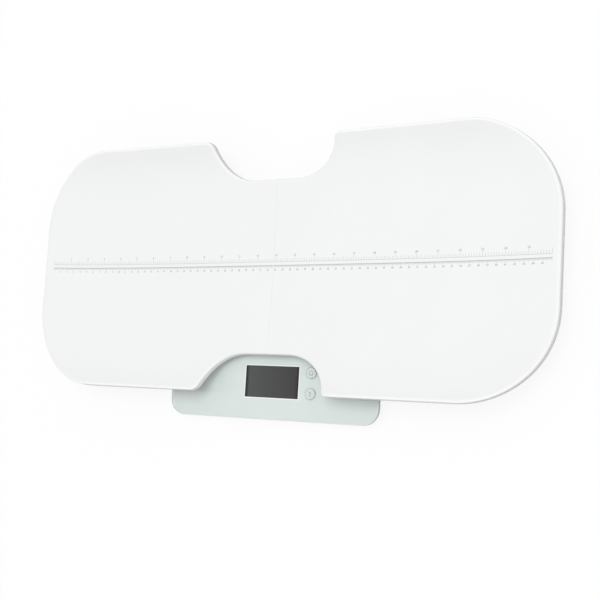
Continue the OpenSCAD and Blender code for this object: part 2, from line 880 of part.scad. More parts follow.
// Contact plates on both end walls of the bay
module battery_contacts() {
    contact_w = 9;
    contact_r = 1.5;
    color("silver")
        for (i = [-1:1], s = [-1, 1])
            at_cell(i)
                translate([s * (bay_w / 2 - contact_t / 2), 0, 0])
                    rotate([0, 90, 0])
                        linear_extrude(contact_t, center = true)
                            rounded_rect(contact_w, contact_w, contact_r);
}

// Conical contact springs at the negative ends. The wire is swept along a
// helix that narrows towards the cell.
module battery_springs() {
    sides = 6;
    steps = 12 * spring_turns;
    base_r = 3.6;
    tip_r = 2.4;
    wire_r = wire_d / 2;
    end_gap = 0.1;
    run = spring_l - wire_d - end_gap;
    function helix(t) =
        let (r = base_r + (tip_r - base_r) * t, a = 360 * spring_turns * t)
            [wire_r + run * t, r * cos(a), r * sin(a)];
    function wire_ring(k) =
        let (t = k / steps, c = helix(t), a = 360 * spring_turns * t)
            [for (j = [0:sides - 1])
                let (b = 360 * j / sides)
                    c + wire_r * [sin(b), cos(b) * cos(a), cos(b) * sin(a)]];
    points = [for (k = [0:steps]) each wire_ring(k)];
    end = steps * sides;
    faces = concat(
        [for (k = [0:steps - 1], j = [0:sides - 1])
            let (a = k * sides + j, b = k * sides + (j + 1) % sides)
                each [[a, b + sides, a + sides], [a, b, b + sides]]],
        [for (j = [1:sides - 2]) [0, j + 1, j]],
        [for (j = [1:sides - 2]) [end, end + j, end + j + 1]]
    );
    color("silver")
        for (i = [-1:1])
            at_cell(i)
                translate([-bay_w / 2 + contact_t, 0, 0]) polyhedron(points, faces);
}

// ---------------------------------------------------------- load-cell feet

foot_x = glass_w / 2 - foot_inset;
function foot_y(side) = glass_y + side * foot_x;
module at_foot(c) translate([c[0] * foot_x, foot_y(c[1]), 0]) children();

// The pad's recess in its cup, the depth of the load cell and of its housing
pad_recess = 1;
plate_depth = 7.5;
plate_lip = 2;
cup_gap = 1;
cup_z = foot_t - pad_recess;
plate_z = stand_h - plate_depth;
plate_gap = 0.3;
sensor_z = plate_z - plate_lip;
cup_top = sensor_z - cup_gap;

// Housing bonded under a corner of the glass, holding the load cell's frame
module sensor_housing(c) {
    roof_t = 1.5;
    ledge = 2;
    edge = 1;
    color("white")
        difference() {
            at_foot(c)
                difference() {
                    translate([0, 0, sensor_z])
                        profiled_slab(sensor_w, sensor_w, sensor_r, [
                            [edge, 0], [edge_mid * edge, edge_mid * edge], [0, edge],
                            [0, film_z - sensor_z]
                        ]);
                    translate([0, 0, sensor_z - over])
                        cylinder(h = over + plate_lip, r = cup_r + cup_gap);
                    translate([0, 0, plate_z])
                        linear_extrude(plate_t)
                            square(plate_w + 2 * plate_gap, center = true);
                    translate([0, 0, sensor_z - over])
                        linear_extrude(film_z - roof_t - sensor_z + over)
                            square(plate_w - 2 * ledge, center = true);
                }
            sensor_exit(c);
        }
}

// Passage of a lead out of its sensor housing: towards the display from the
// front feet, and straight forward from the back feet
module sensor_exit(c) {
    reach = lead_start - over;
    at_foot(c)
        rotate([0, 0, c[1] < 0 ? (c[0] < 0 ? 0 : 180) : -90])
            translate([reach, -lead_w / 2 - lead_gap, film_z - lead_t - lead_gap])
                cube([sensor_w, lead_w + 2 * lead_gap, lead_t + lead_gap + eps]);
}

// Spring-steel plate with slots that free its middle tongue
module load_cell(c) {
    slot = 2.5;
    frame = 4;
    tongue = plate_w - 2 * (frame + slot);
    neck = tongue / 2;
    corner_r = 2;
    slot_r = 1.5;
    color("lightsteelblue")
        at_foot(c)
            translate([0, 0, plate_z])
                linear_extrude(plate_t)
                    difference() {
                        rounded_rect(plate_w, plate_w, corner_r);
                        difference() {
                            rounded_rect(plate_w - 2 * frame, plate_w - 2 * frame, slot_r);
                            rounded_rect(tongue, tongue, slot_r);
                            translate([0, plate_w / 2 - frame])
                                square([neck, 2 * slot + over], center = true);
                        }
                    }
}

// Gauge glued over the root of each plate's tongue
module strain_gauges() {
    gauge_w = 8;
    gauge_d = 5;
    gauge_t = 0.5;
    gauge_r = 0.6;
    gauge_y = 6.5;
    color("bisque")
        for (c = CORNERS)
            at_foot(c)
                translate([0, gauge_y, plate_z + plate_t])
                    linear_extrude(gauge_t) rounded_rect(gauge_w, gauge_d, gauge_r);
}

// Cup that carries the rubber foot and presses on the tongue
module foot_cup(c) {
    hub_r = 8;
    hub_h = 1;
    button_r = 4;
    edge = 1;
    recess_r = foot_r + 0.2;
    color("white")
        at_foot(c)
            rotate_extrude()
                polygon([
                    [0, foot_t], [recess_r, foot_t], [recess_r, cup_z],
                    [cup_r - edge, cup_z], [cup_r, cup_z + edge], [cup_r, cup_top - edge],
                    [cup_r - edge, cup_top], [hub_r, cup_top], [hub_r - hub_h, cup_top + hub_h],
                    [button_r, cup_top + hub_h], [button_r, plate_z], [0, plate_z]
                ]);
}

// Rubber foot with a softened edge and a shallow ring groove below
module foot_pad(c) {
    edge = 0.8;
    groove_r = foot_r * 0.6;
    groove = 0.6;
    color("lightgray")
        at_foot(c)
            rotate_extrude()
                polygon([
                    [0, 0], [groove_r - groove, 0], [groove_r, groove], [groove_r + groove, 0],
                    [foot_r - edge, 0], [foot_r, edge], [foot_r, foot_t], [0, foot_t]
                ]);
}

// Flat lead held against the film all the way from its foot to the display
lead_inset = 3;
lead_start = plate_w / 2 - lead_inset;
lead_end_in = 2;

module flat_lead(points) {
    r = lead_w / 2;
    color("gainsboro")
        translate([0, 0, film_z - lead_t])
            linear_extrude(lead_t) {
                for (i = [0:len(points) - 2]) {
                    a = points[i];
                    b = points[i + 1];
                    lo = [min(a[0], b[0]), min(a[1], b[1])];
                    hi = [max(a[0], b[0]), max(a[1], b[1])];
                    along_x = hi[0] - lo[0] > hi[1] - lo[1];
                    side = along_x ? [0, r] : [r, 0];
                    translate(lo - side) square(hi - lo + 2 * side);
                }
                for (i = [1:1:len(points) - 2]) translate(points[i]) circle(r);
            }
}

// End of the leads inside the display housing, on either side
function lead_goal_x(s) = housing_x + s * (housing_w / 2 - housing_wall - lead_end_in);

module sensor_lead(c)
    if (c[1] < 0)
        flat_lead([
            [c[0] * (foot_x - lead_start), foot_y(-1)],
            [lead_goal_x(c[0]), foot_y(-1)]
        ]);
    else
        flat_lead([
            [c[0] * foot_x, foot_y(1) - lead_start],
            [c[0] * foot_x, lead_y],
            [lead_goal_x(c[0]), lead_y]
        ]);

// Saddles bonded to the film that hold the two long leads
module lead_clips() {
    clip_l = 6;
    clip_wall = 1.6;
    clip_floor = 1;
    clip_w = lead_w + 2 * (lead_gap + clip_wall);
    clip_h = lead_t + lead_gap + clip_floor;
    run = foot_y(1) - lead_y;
    clip_ys = [for (share = [0.2, 0.45, 0.7]) lead_y + run * share];
    color("white")
        for (s = [-1, 1], y = clip_ys)
            translate([s * foot_x, y, film_z])
                difference() {
                    translate([0, 0, -clip_h / 2])
                        cube([clip_w, clip_l, clip_h], center = true);
                    translate([0, 0, -(lead_t + lead_gap) / 2 + eps])
                        cube([lead_w + 2 * lead_gap, clip_l + over, lead_t + lead_gap + 2 * eps],
                             center = true);
                }
}

// --------------------------------------------------------------------- out

glass_plate();
back_print();
tray_shell();
tray_pads();
display_housing();
housing_cover();
cover_screws();
battery_door();
lcd_panel();
lcd_frame();
backlight();
connector_strips();
main_board();
board_screws();
controller_chip();
key_upper_cap();
key_upper_plunger();
key_upper_switch();
key_lower_cap();
key_lower_plunger();
key_lower_switch();
battery_front();
battery_middle();
battery_back();
battery_contacts();
battery_springs();
sensor_housing(front_left);  // sensor_housing_front_left
sensor_housing(front_right);  // sensor_housing_front_right
sensor_housing(back_left);  // sensor_housing_back_left
sensor_housing(back_right);  // sensor_housing_back_right
load_cell(front_left);  // load_cell_front_left
load_cell(front_right);  // load_cell_front_right
load_cell(back_left);  // load_cell_back_left
load_cell(back_right);  // load_cell_back_right
strain_gauges();
foot_cup(front_left);  // foot_cup_front_left
foot_cup(front_right);  // foot_cup_front_right
foot_cup(back_left);  // foot_cup_back_left
foot_cup(back_right);  // foot_cup_back_right
foot_pad(front_left);  // foot_pad_front_left
foot_pad(front_right);  // foot_pad_front_right
foot_pad(back_left);  // foot_pad_back_left
foot_pad(back_right);  // foot_pad_back_right
sensor_lead(front_left);  // sensor_lead_front_left
sensor_lead(front_right);  // sensor_lead_front_right
sensor_lead(back_left);  // sensor_lead_back_left
sensor_lead(back_right);  // sensor_lead_back_right
lead_clips();
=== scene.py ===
"""Looks of a digital baby weighing scale, in metres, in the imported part's frame.

A loose white tray with a printed measuring rule lies on a square glass platform, which
holds the display, two keys and the battery bay and stands on four load-cell feet.
"""

import logging
import math
from dataclasses import dataclass, field
from enum import Enum

import bmesh
import bpy
from mathutils import Matrix, Vector

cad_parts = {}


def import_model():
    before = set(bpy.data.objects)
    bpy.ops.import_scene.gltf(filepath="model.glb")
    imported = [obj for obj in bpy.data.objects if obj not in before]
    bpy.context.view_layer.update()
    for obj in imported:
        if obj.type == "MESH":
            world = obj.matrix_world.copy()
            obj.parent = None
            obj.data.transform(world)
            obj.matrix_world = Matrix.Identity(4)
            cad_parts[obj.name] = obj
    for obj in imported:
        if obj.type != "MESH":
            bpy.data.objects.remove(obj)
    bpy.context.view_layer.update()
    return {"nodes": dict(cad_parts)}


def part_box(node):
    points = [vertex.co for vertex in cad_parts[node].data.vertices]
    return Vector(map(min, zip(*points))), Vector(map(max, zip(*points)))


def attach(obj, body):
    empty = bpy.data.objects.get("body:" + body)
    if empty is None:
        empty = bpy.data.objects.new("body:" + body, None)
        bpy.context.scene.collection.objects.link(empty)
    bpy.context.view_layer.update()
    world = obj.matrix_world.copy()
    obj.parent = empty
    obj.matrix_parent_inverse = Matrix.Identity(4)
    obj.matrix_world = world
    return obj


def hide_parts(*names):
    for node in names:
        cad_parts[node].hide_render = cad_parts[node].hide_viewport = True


log = logging.getLogger("baby_scale")

MM = 0.001
INCH = 0.0254
CENTIMETRE = 0.01
NOISE_SPAN = (0.3, 0.7)  # where a noise texture's values mostly lie
WHITE = (1.0, 1.0, 1.0, 1.0)

Colour = tuple[float, float, float]
Point = tuple[float, float]
Spot = tuple[Vector, Vector]
Socket = bpy.types.NodeSocket
Material = bpy.types.Material
Piece = bpy.types.Object


class Body(Enum):
    """The rigid bodies that the scene's own pieces ride on."""

    PLATFORM = "platform"
    TRAY = "tray"
    KEY_UPPER = "key_upper"
    KEY_LOWER = "key_lower"


class Corner(Enum):
    """The platform's corners, as signs along X and Y."""

    FRONT_LEFT = (-1, -1)
    FRONT_RIGHT = (1, -1)
    BACK_LEFT = (-1, 1)
    BACK_RIGHT = (1, 1)

    @property
    def suffix(self) -> str:
        """The corner's name as the frame's nodes spell it."""
        return self.name.lower()


def linear(colour: Colour) -> tuple[float, float, float, float]:
    """Turns a colour as seen on a screen into the linear one that shaders take, with an alpha."""
    return (*(c / 12.92 if c <= 0.04045 else ((c + 0.055) / 1.055) ** 2.4 for c in colour), 1.0)


def shaded(colour: Colour, factor: float) -> Colour:
    """A colour made darker or lighter by a factor, up to white."""
    return tuple(min(1.0, c * factor) for c in colour)


# ------------------------------------------------------------------ node trees


class Graph:
    """Writes the nodes of one shader or geometry tree."""

    def __init__(self, tree: bpy.types.NodeTree) -> None:
        """Starts writing in an empty tree."""
        self.tree = tree

    def add(self, kind: str, inputs: dict | None = None, **settings: object) -> bpy.types.Node:
        """Adds a node.

        Args:
            kind: The node's type name.
            inputs: Values or sockets by input name or index.
            **settings: Properties of the node itself.

        Returns:
            The new node.
        """
        node = self.tree.nodes.new(kind)
        for name, value in settings.items():
            setattr(node, name, value)
        for name, value in (inputs or {}).items():
            if isinstance(value, Socket):
                self.tree.links.new(value, node.inputs[name])
            else:
                node.inputs[name].default_value = value
        return node

    def out(self, kind: str, inputs: dict | None = None, **settings: object) -> Socket:
        """Adds a node and returns its first output."""
        return self.add(kind, inputs, **settings).outputs[0]

    def math(self, operation: str, *values: object) -> Socket:
        """Adds a Math node on up to three values or sockets and returns its result."""
        return self.out("ShaderNodeMath", dict(enumerate(values)), operation=operation)

    def axes(self, vector: Socket) -> tuple[Socket, ...]:
        """The X, Y and Z of a vector."""
        return tuple(self.add("ShaderNodeSeparateXYZ", {0: vector}).outputs)

    def vector(self, *parts: object) -> Socket:
        """A vector from up to three values or sockets."""
        return self.out("ShaderNodeCombineXYZ", dict(enumerate(parts)))

    def mix(self, amount: Socket, first: Socket, second: Socket) -> Socket:
        """Mixes two shaders by an amount from 0 to 1."""
        return self.out("ShaderNodeMixShader", {0: amount, 1: first, 2: second})


class Surface(Graph):
    """A material that is read in Object coordinates."""

    def __init__(self, name: str) -> None:
        """Creates the material and its coordinates.

        Args:
            name: The material's name.
        """
        self.material = bpy.data.materials.new(name)
        self.material.use_nodes = True
        super().__init__(self.material.node_tree)
        self.tree.nodes.clear()
        self.place = self.add("ShaderNodeTexCoord").outputs["Object"]

    def noise(self, size: float, detail: float = 2.0, stretch: Colour = (1, 1, 1)) -> Socket:
        """Noise around 0.5.

        Args:
            size: The size of a feature, in metres.
            detail: The octaves of finer noise.
            stretch: Scale along each axis.

        Returns:
            The noise's value.
        """
        spot = self.out("ShaderNodeMapping", {"Vector": self.place, "Scale": stretch})
        inputs = {"Vector": spot, "Scale": 1 / size, "Detail": detail}
        return self.out("ShaderNodeTexNoise", inputs)

    def ramp(self, value: Socket, start: float, end: float, to: Point = (0.0, 1.0)) -> Socket:
        """Maps a value from start..end to another span."""
        spans = {"From Min": start, "From Max": end, "To Min": to[0], "To Max": to[1]}
        return self.out("ShaderNodeMapRange", {"Value": value, **spans})

    def uneven(self, span: Point, size: float, detail: float = 2.0) -> Socket:
        """A value that wanders over a span, in patches of a size in metres."""
        return self.ramp(self.noise(size, detail), *NOISE_SPAN, span)

    def blend(self, amount: Socket, first: object, second: object) -> Socket:
        """Mixes two colours.

        Args:
            amount: The second colour's share, from 0 to 1.
            first: A colour or a colour socket.
            second: Another.

        Returns:
            The mixed colour.
        """
        ends = [v if isinstance(v, Socket) else linear(v) for v in (first, second)]
        inputs = {0: amount, 6: ends[0], 7: ends[1]}
        return self.add("ShaderNodeMix", inputs, data_type="RGBA").outputs[2]

    def mottled(self, noise: Socket, first: object, second: object) -> Socket:
        """Mixes two colours or colour sockets by a noise."""
        return self.blend(self.ramp(noise, *NOISE_SPAN), first, second)

    def bump(self, height: Socket, depth: float) -> Socket:
        """A bumped normal from a height of about depth metres."""
        return self.out("ShaderNodeBump", {"Height": height, "Distance": depth, "Strength": 1.0})

    def beyond(self, centre: Point, size: Point) -> Socket:
        """How far a place lies outside a rectangle in plan.

        Args:
            centre: The rectangle's middle.
            size: Its width and depth.

        Returns:
            The distance along the axis where it is larger, below 0 inside.
        """
        away = [
            self.math("SUBTRACT", self.math("ABSOLUTE", self.math("SUBTRACT", axis, mid)), span / 2)
            for axis, mid, span in zip(self.axes(self.place), centre, size)
        ]
        return self.math("MAXIMUM", *away)

    def principled(self, **inputs: object) -> Socket:
        """A Principled shader, with its inputs' names spelled with underscores for spaces."""
        named = {key.replace("_", " "): value for key, value in inputs.items()}
        return self.out("ShaderNodeBsdfPrincipled", named)

    def end(self, shader: Socket) -> Material:
        """Ends the tree in a shader and returns the material."""
        self.add("ShaderNodeOutputMaterial", {"Surface": shader})
        return self.material

    def close(self, **inputs: object) -> Material:
        """Ends the tree in a Principled shader and returns the material."""
        return self.end(self.principled(**inputs))


class GeometryTree(Graph):
    """A geometry tree with named inputs, used as a modifier and then made a plain mesh."""

    def __init__(self, name: str) -> None:
        """Creates the tree with its geometry input and output, and its finish.

        Args:
            name: The tree's name.
        """
        super().__init__(bpy.data.node_groups.new(name, "GeometryNodeTree"))
        for way in ("OUTPUT", "INPUT"):
            self.tree.interface.new_socket("Geometry", in_out=way, socket_type="NodeSocketGeometry")
        self.start = self.tree.nodes.new("NodeGroupInput")
        self.geometry = self.start.outputs["Geometry"]
        self.finish = self.value("Finish", "Material")

    def value(self, name: str, kind: str = "Float") -> Socket:
        """Adds a named input of a kind such as Float, Int, Vector or Material and returns it."""
        self.tree.interface.new_socket(name, in_out="INPUT", socket_type="NodeSocket" + kind)
        return self.start.outputs[name]

    def close(self, geometry: Socket) -> None:
        """Ends the tree in a geometry that is made real and takes the finish.

        Args:
            geometry: The geometry to end in.
        """
        real = self.out("GeometryNodeRealizeInstances", {"Geometry": geometry})
        inputs = {"Geometry": real, "Material": self.finish}
        self.add("NodeGroupOutput", {"Geometry": self.out("GeometryNodeSetMaterial", inputs)})

    def apply(self, piece: Piece, values: dict[str, object]) -> None:
        """Runs the tree on a piece and keeps the result as its plain mesh.

        Args:
            piece: The object to work on.
            values: The tree's inputs by name.
        """
        modifier = piece.modifiers.new(self.tree.name, "NODES")
        modifier.node_group = self.tree
        for item in self.tree.interface.items_tree:
            if item.in_out == "INPUT" and item.name in values:
                modifier[item.identifier] = values[item.name]
        graph = bpy.context.evaluated_depsgraph_get()
        mesh = bpy.data.meshes.new_from_object(piece.evaluated_get(graph), depsgraph=graph)
        piece.modifiers.remove(modifier)
        piece.data = mesh


# -------------------------------------------------------------------- finishes


@dataclass(frozen=True)
class Finish:
    """A named finish, which each kind draws in its own way."""

    name: str

    def draw(self, s: Surface) -> Material:
        """Draws the finish on an empty surface and returns its material."""
        raise NotImplementedError

    def material(self) -> Material:
        """Builds the material."""
        return self.draw(Surface(self.name))


@dataclass(frozen=True)
class Moulded(Finish):
    """Injection-moulded plastic: a fine grain, uneven gloss and the faintest change of tone."""

    colour: Colour
    roughness: float = 0.4
    gloss_change: Point = (-0.06, 0.06)
    gloss_patch: float = 8 * MM
    grain: float = 0.5 * MM
    depth: float = 0.01 * MM
    tone: float = 0.98
    tone_patch: float = 60 * MM

    def tones(self, s: Surface) -> Socket:
        """The base colour, with broad and faint patches."""
        return s.mottled(s.noise(self.tone_patch), self.colour, shaded(self.colour, self.tone))

    def draw(self, s: Surface) -> Material:
        """Draws the plastic.

        Args:
            s: An empty surface.

        Returns:
            The material.
        """
        span = tuple(self.roughness + change for change in self.gloss_change)
        return s.close(
            Base_Color=self.tones(s),
            Roughness=s.uneven(span, self.gloss_patch, 4.0),
            Normal=s.bump(s.noise(self.grain), self.depth),
        )


@dataclass(frozen=True)
class TrayPlastic(Moulded):
    """The tray's satin plastic, with a painted highlight: whiter where it rolls over at the rim.

    The rim and the skirt are told from the dish by how far they lie below its height, which
    is the surface level plus a fourth power along the tray and another across it.
    """

    # painted highlight: a near-white colour for the rim's roll and the skirt, brighter than the
    # dish
    rim_highlight_colour: Colour = (0.985, 0.986, 0.987)
    level: float = 0.0
    middle: float = 0.0
    spans: tuple[Point, ...] = ()
    drop: Point = (0.1 * MM, 1.2 * MM)

    def tones(self, s: Surface) -> Socket:
        """The base colour: the dish's own tone, and a painted highlight colour below it.

        Args:
            s: The plastic's surface.

        Returns:
            The colour.
        """
        x, y, z = s.axes(s.place)
        below = s.math("SUBTRACT", self.level, z)
        for place, (half, rise) in zip((x, s.math("SUBTRACT", y, self.middle)), self.spans):
            share = s.math("ABSOLUTE", s.math("DIVIDE", place, half))
            below = s.math("MULTIPLY_ADD", s.math("POWER", share, 4.0), rise, below)
        # painted highlight: whatever lies below the dish, such as the rim and skirt, takes the
        # whiter colour
        return s.blend(s.ramp(below, *self.drop), super().tones(s), self.rim_highlight_colour)


@dataclass(frozen=True)
class Rubber(Finish):
    """Matte rubber with a dusty, coarser grain."""

    colour: Colour
    roughness: Point = (0.72, 0.92)
    shine: float = 0.3
    dust: float = 1.08
    dust_patch: float = 3 * MM
    gloss_patch: float = 2 * MM
    grain: float = 0.4 * MM
    depth: float = 0.03 * MM

    def draw(self, s: Surface) -> Material:
        """Draws the rubber.

        Args:
            s: An empty surface.

        Returns:
            The material.
        """
        dusty = shaded(self.colour, self.dust)
        return s.close(
            Base_Color=s.mottled(s.noise(self.dust_patch, 4.0), self.colour, dusty),
            Roughness=s.uneven(self.roughness, self.gloss_patch),
            Normal=s.bump(s.noise(self.grain), self.depth),
            Specular_IOR_Level=self.shine,
        )


@dataclass(frozen=True)
class PlateGlass(Finish):
    """Clear glass with a pale bevel and a greener ground edge, which lets lamps through.

    The ground faces are told by the upward part of their normal: the edge's lies under the
    first limit and the bevel's under the second.
    """

    tint: Colour
    bevel: Colour
    edge: Colour
    limits: Point = (0.3, 0.9)
    index: float = 1.5
    polish: Point = (0.015, 0.03)
    polish_patch: float = 40 * MM
    grind: Point = (0.25, 0.4)
    grind_patch: float = 1 * MM

    def draw(self, s: Surface) -> Material:
        """Draws the glass.

        Args:
            s: An empty surface.

        Returns:
            The material.
        """
        normal = s.add("ShaderNodeNewGeometry").outputs["True Normal"]
        level = s.math("ABSOLUTE", s.axes(normal)[2])
        upright, slanted = (s.math("LESS_THAN", level, limit) for limit in self.limits)
        glass = s.principled(
            Base_Color=linear(self.tint),
            Roughness=s.uneven(self.polish, self.polish_patch),
            Transmission_Weight=1.0,
            IOR=self.index,
        )
        ground = s.principled(
            Base_Color=s.blend(upright, self.bevel, self.edge),
            Roughness=s.uneven(self.grind, self.grind_patch, 4.0),
        )
        clear = s.out("ShaderNodeBsdfTransparent", {"Color": linear(self.tint)})
        path = s.add("ShaderNodeLightPath").outputs
        light_ray = s.math("MAXIMUM", path["Is Shadow Ray"], path["Is Diffuse Ray"])
        return s.end(s.mix(light_ray, s.mix(slanted, glass, ground), clear))


@dataclass(frozen=True)
class BackPrint(Finish):
    """Pale print on the underside of the glass, with a white line round the display window."""

    colour: Colour
    line_colour: Colour
    window_centre: Point
    window_size: Point
    line_width: float = 1.1 * MM
    tone: float = 0.99
    tone_patch: float = 30 * MM

    def draw(self, s: Surface) -> Material:
        """Draws the print.

        Args:
            s: An empty surface.

        Returns:
            The material.
        """
        away = s.beyond(self.window_centre, self.window_size)
        ground = s.mottled(s.noise(self.tone_patch), self.colour, shaded(self.colour, self.tone))
        return s.close(
            Base_Color=s.blend(
                s.math("LESS_THAN", away, self.line_width), ground, self.line_colour
            ),
            Roughness=s.uneven((0.5, 0.6), 1 * MM),
            Specular_IOR_Level=0.0,
        )


@dataclass(frozen=True)
class DisplayPanel(Finish):
    """Unlit liquid crystal panel: grey with a warmer right side and a dark seal round its edge."""

    left: Colour
    right: Colour
    seal: Colour
    centre: Point
    view_size: Point
    fade: float = 2.4 * MM

    def draw(self, s: Surface) -> Material:
        """Draws the panel.

        Args:
            s: An empty surface.

        Returns:
            The material.
        """
        middle, half = self.centre[0], self.view_size[0] / 2
        along = s.ramp(s.axes(s.place)[0], middle - half, middle + half)
        edge = s.ramp(s.beyond(self.centre, self.view_size), 0.0, self.fade)
        return s.close(
            Base_Color=s.blend(edge, s.blend(along, self.left, self.right), self.seal),
            Roughness=s.uneven((0.5, 0.6), 0.6 * MM),
            Specular_IOR_Level=0.0,
        )


@dataclass(frozen=True)
class Ink(Finish):
    """Thin printing ink, a little uneven where it was pressed on."""

    colour: Colour
    wear: float = 0.12
    wear_patch: float = 4 * MM

    def draw(self, s: Surface) -> Material:
        """Draws the ink.

        Args:
            s: An empty surface.

        Returns:
            The material.
        """
        worn = tuple(c + (1 - c) * self.wear for c in self.colour)
        return s.close(
            Base_Color=s.mottled(s.noise(self.wear_patch, 5.0), self.colour, worn),
            Roughness=s.uneven((0.45, 0.55), 1 * MM),
        )


@dataclass(frozen=True)
class Metal(Finish):
    """Metal with the fine lines of rolling or brushing along one axis."""

    colour: Colour
    roughness: float = 0.3
    lines: Colour = (1, 12, 12)
    gloss_change: Point = (-0.08, 0.1)
    line_length: float = 2 * MM
    dull: float = 0.88
    depth: float = 0.01 * MM

    def draw(self, s: Surface) -> Material:
        """Draws the metal.

        Args:
            s: An empty surface.

        Returns:
            The material.
        """
        brushed = s.noise(self.line_length, 6.0, self.lines)
        span = tuple(self.roughness + change for change in self.gloss_change)
        return s.close(
            Base_Color=s.mottled(brushed, self.colour, shaded(self.colour, self.dull)),
            Metallic=1.0,
            Roughness=s.ramp(brushed, *NOISE_SPAN, span),
            Normal=s.bump(brushed, self.depth),
        )


@dataclass(frozen=True)
class CircuitBoard(Finish):
    """Green solder mask over a maze of copper tracks, with bright tinned pads."""

    mask: Colour
    track: Colour
    pad: Colour
    track_pitch: float = 4 * MM
    pad_pitch: float = 5 * MM
    track_share: float = 0.07
    pad_share: float = 0.12

    def draw(self, s: Surface) -> Material:
        """Draws the board.

        Args:
            s: An empty surface.

        Returns:
            The material.
        """
        tracks = s.add(
            "ShaderNodeTexVoronoi", {"Vector": s.place, "Scale": 1 / self.track_pitch},
            feature="DISTANCE_TO_EDGE", distance="MANHATTAN",
        ).outputs["Distance"]
        spots = s.add(
            "ShaderNodeTexVoronoi", {"Vector": s.place, "Scale": 1 / self.pad_pitch}
        ).outputs["Distance"]
        is_track = s.math("LESS_THAN", tracks, self.track_share)
        is_pad = s.math("LESS_THAN", spots, self.pad_share)
        return s.close(
            Base_Color=s.blend(is_pad, s.blend(is_track, self.mask, self.track), self.pad),
            Metallic=is_pad,
            Roughness=s.uneven((0.28, 0.4), 1 * MM),
        )


@dataclass(frozen=True)
class CellJacket(Finish):
    """A dry cell's plain foil jacket, with a band in a second colour next to the terminal."""

    jacket: Colour
    band: Colour
    band_edge: float
    towards: int
    foil: float = 0.6

    def draw(self, s: Surface) -> Material:
        """Draws the jacket.

        Args:
            s: An empty surface.

        Returns:
            The material.
        """
        along = s.math("SUBTRACT", s.axes(s.place)[0], self.band_edge)
        beyond = s.math("MULTIPLY", along, float(self.towards))
        return s.close(
            Base_Color=s.blend(s.math("GREATER_THAN", beyond, 0.0), self.jacket, self.band),
            Metallic=self.foil,
            Roughness=s.uneven((0.24, 0.36), 3 * MM, 4.0),
        )


# ---------------------------------------------------------------------- meshes


def new_piece(name: str, mesh: bpy.types.Mesh) -> Piece:
    """Makes an object at the origin and links it to the scene.

    Args:
        name: The piece's name.
        mesh: Its mesh.

    Returns:
        The new object.
    """
    piece = bpy.data.objects.new(name, mesh)
    bpy.context.scene.collection.objects.link(piece)
    return piece


def piece_from(name: str, work: bmesh.types.BMesh) -> Piece:
    """Makes a piece from a bmesh.

    Args:
        name: The piece's name.
        work: The bmesh, which is freed.

    Returns:
        The new object.
    """
    mesh = bpy.data.meshes.new(name)
    work.to_mesh(mesh)
    work.free()
    return new_piece(name, mesh)


def turn_outwards(mesh: bpy.types.Mesh) -> None:
    """Turns normals outwards.

    Args:
        mesh: A closed mesh.
    """
    work = bmesh.new()
    work.from_mesh(mesh)
    bmesh.ops.recalc_face_normals(work, faces=work.faces)
    work.to_mesh(mesh)
    work.free()


def mesh_piece(name: str, points: list[Vector], faces: list[tuple[int, ...]]) -> Piece:
    """Makes a piece from points and faces, with its normals turned outwards.

    Args:
        name: The piece's name.
        points: The vertices.
        faces: The faces, as indices of vertices.

    Returns:
        The new object.
    """
    mesh = bpy.data.meshes.new(name)
    mesh.from_pydata([tuple(p) for p in points], [], faces)
    turn_outwards(mesh)
    return new_piece(name, mesh)


def smooth(piece: Piece, degrees: float = 32.0) -> None:
    """Shades a piece smooth, but keeps edges sharper than an angle."""
    piece.data.shade_smooth()
    piece.data.set_sharp_from_angle(angle=math.radians(degrees))


def joined(name: str, pieces: list[Piece]) -> Piece:
    """Joins pieces of one finish into one, and removes the originals.

    Args:
        name: The new piece's name.
        pieces: Objects at the origin.

    Returns:
        The joined object.
    """
    work = bmesh.new()
    for piece in pieces:
        work.from_mesh(piece.data)
        bpy.data.objects.remove(piece)
    return piece_from(name, work)


def bar(name: str, ends: Spot, width: float, heights: Point, step: float) -> Piece:
    """Makes a straight bar with a rectangular section, cut into steps along its length.

    Args:
        name: The piece's name.
        ends: The ends of its middle line, in plan.
        width: Its width across that line.
        heights: The heights of its underside and its top.
        step: The longest step along it.

    Returns:
        The new object.
    """
    a, b = ends
    low, high = heights
    steps = max(1, math.ceil((b - a).length / step))
    across = Vector((a.y - b.y, b.x - a.x)).normalized() * width / 2
    points: list[Vector] = []
    for i in range(steps + 1):
        p = a.lerp(b, i / steps)
        left, right = p + across, p - across
        points += [Vector((*left, low)), Vector((*right, low))]
        points += [Vector((*right, high)), Vector((*left, high))]
    last = 4 * steps
    faces = [(0, 1, 2, 3), (last + 3, last + 2, last + 1, last)]
    for k in range(0, last, 4):
        faces += [(k + j, k + (j + 1) % 4, k + 4 + (j + 1) % 4, k + 4 + j) for j in range(4)]
    return mesh_piece(name, points, faces)


def lathe(name: str, profile: list[Point], centre: Vector, steps: int) -> Piece:
    """Turns a profile of (radius, height) points round a vertical axis.

    Args:
        name: The piece's name.
        profile: Points from the bottom of the axis to its top.
        centre: The axis's place, in plan.
        steps: The number of steps round it.

    Returns:
        The new object.
    """
    work = bmesh.new()
    verts = [work.verts.new((centre.x + r, centre.y, z)) for r, z in profile]
    edges = [work.edges.new(pair) for pair in zip(verts, verts[1:])]
    bmesh.ops.spin(
        work, geom=verts + edges, cent=(centre.x, centre.y, 0), axis=(0, 0, 1),
        angle=math.tau, steps=steps, use_merge=True,
    )
    bmesh.ops.remove_doubles(work, verts=work.verts, dist=0.0001 * MM)
    bmesh.ops.recalc_face_normals(work, faces=work.faces)
    return piece_from(name, work)


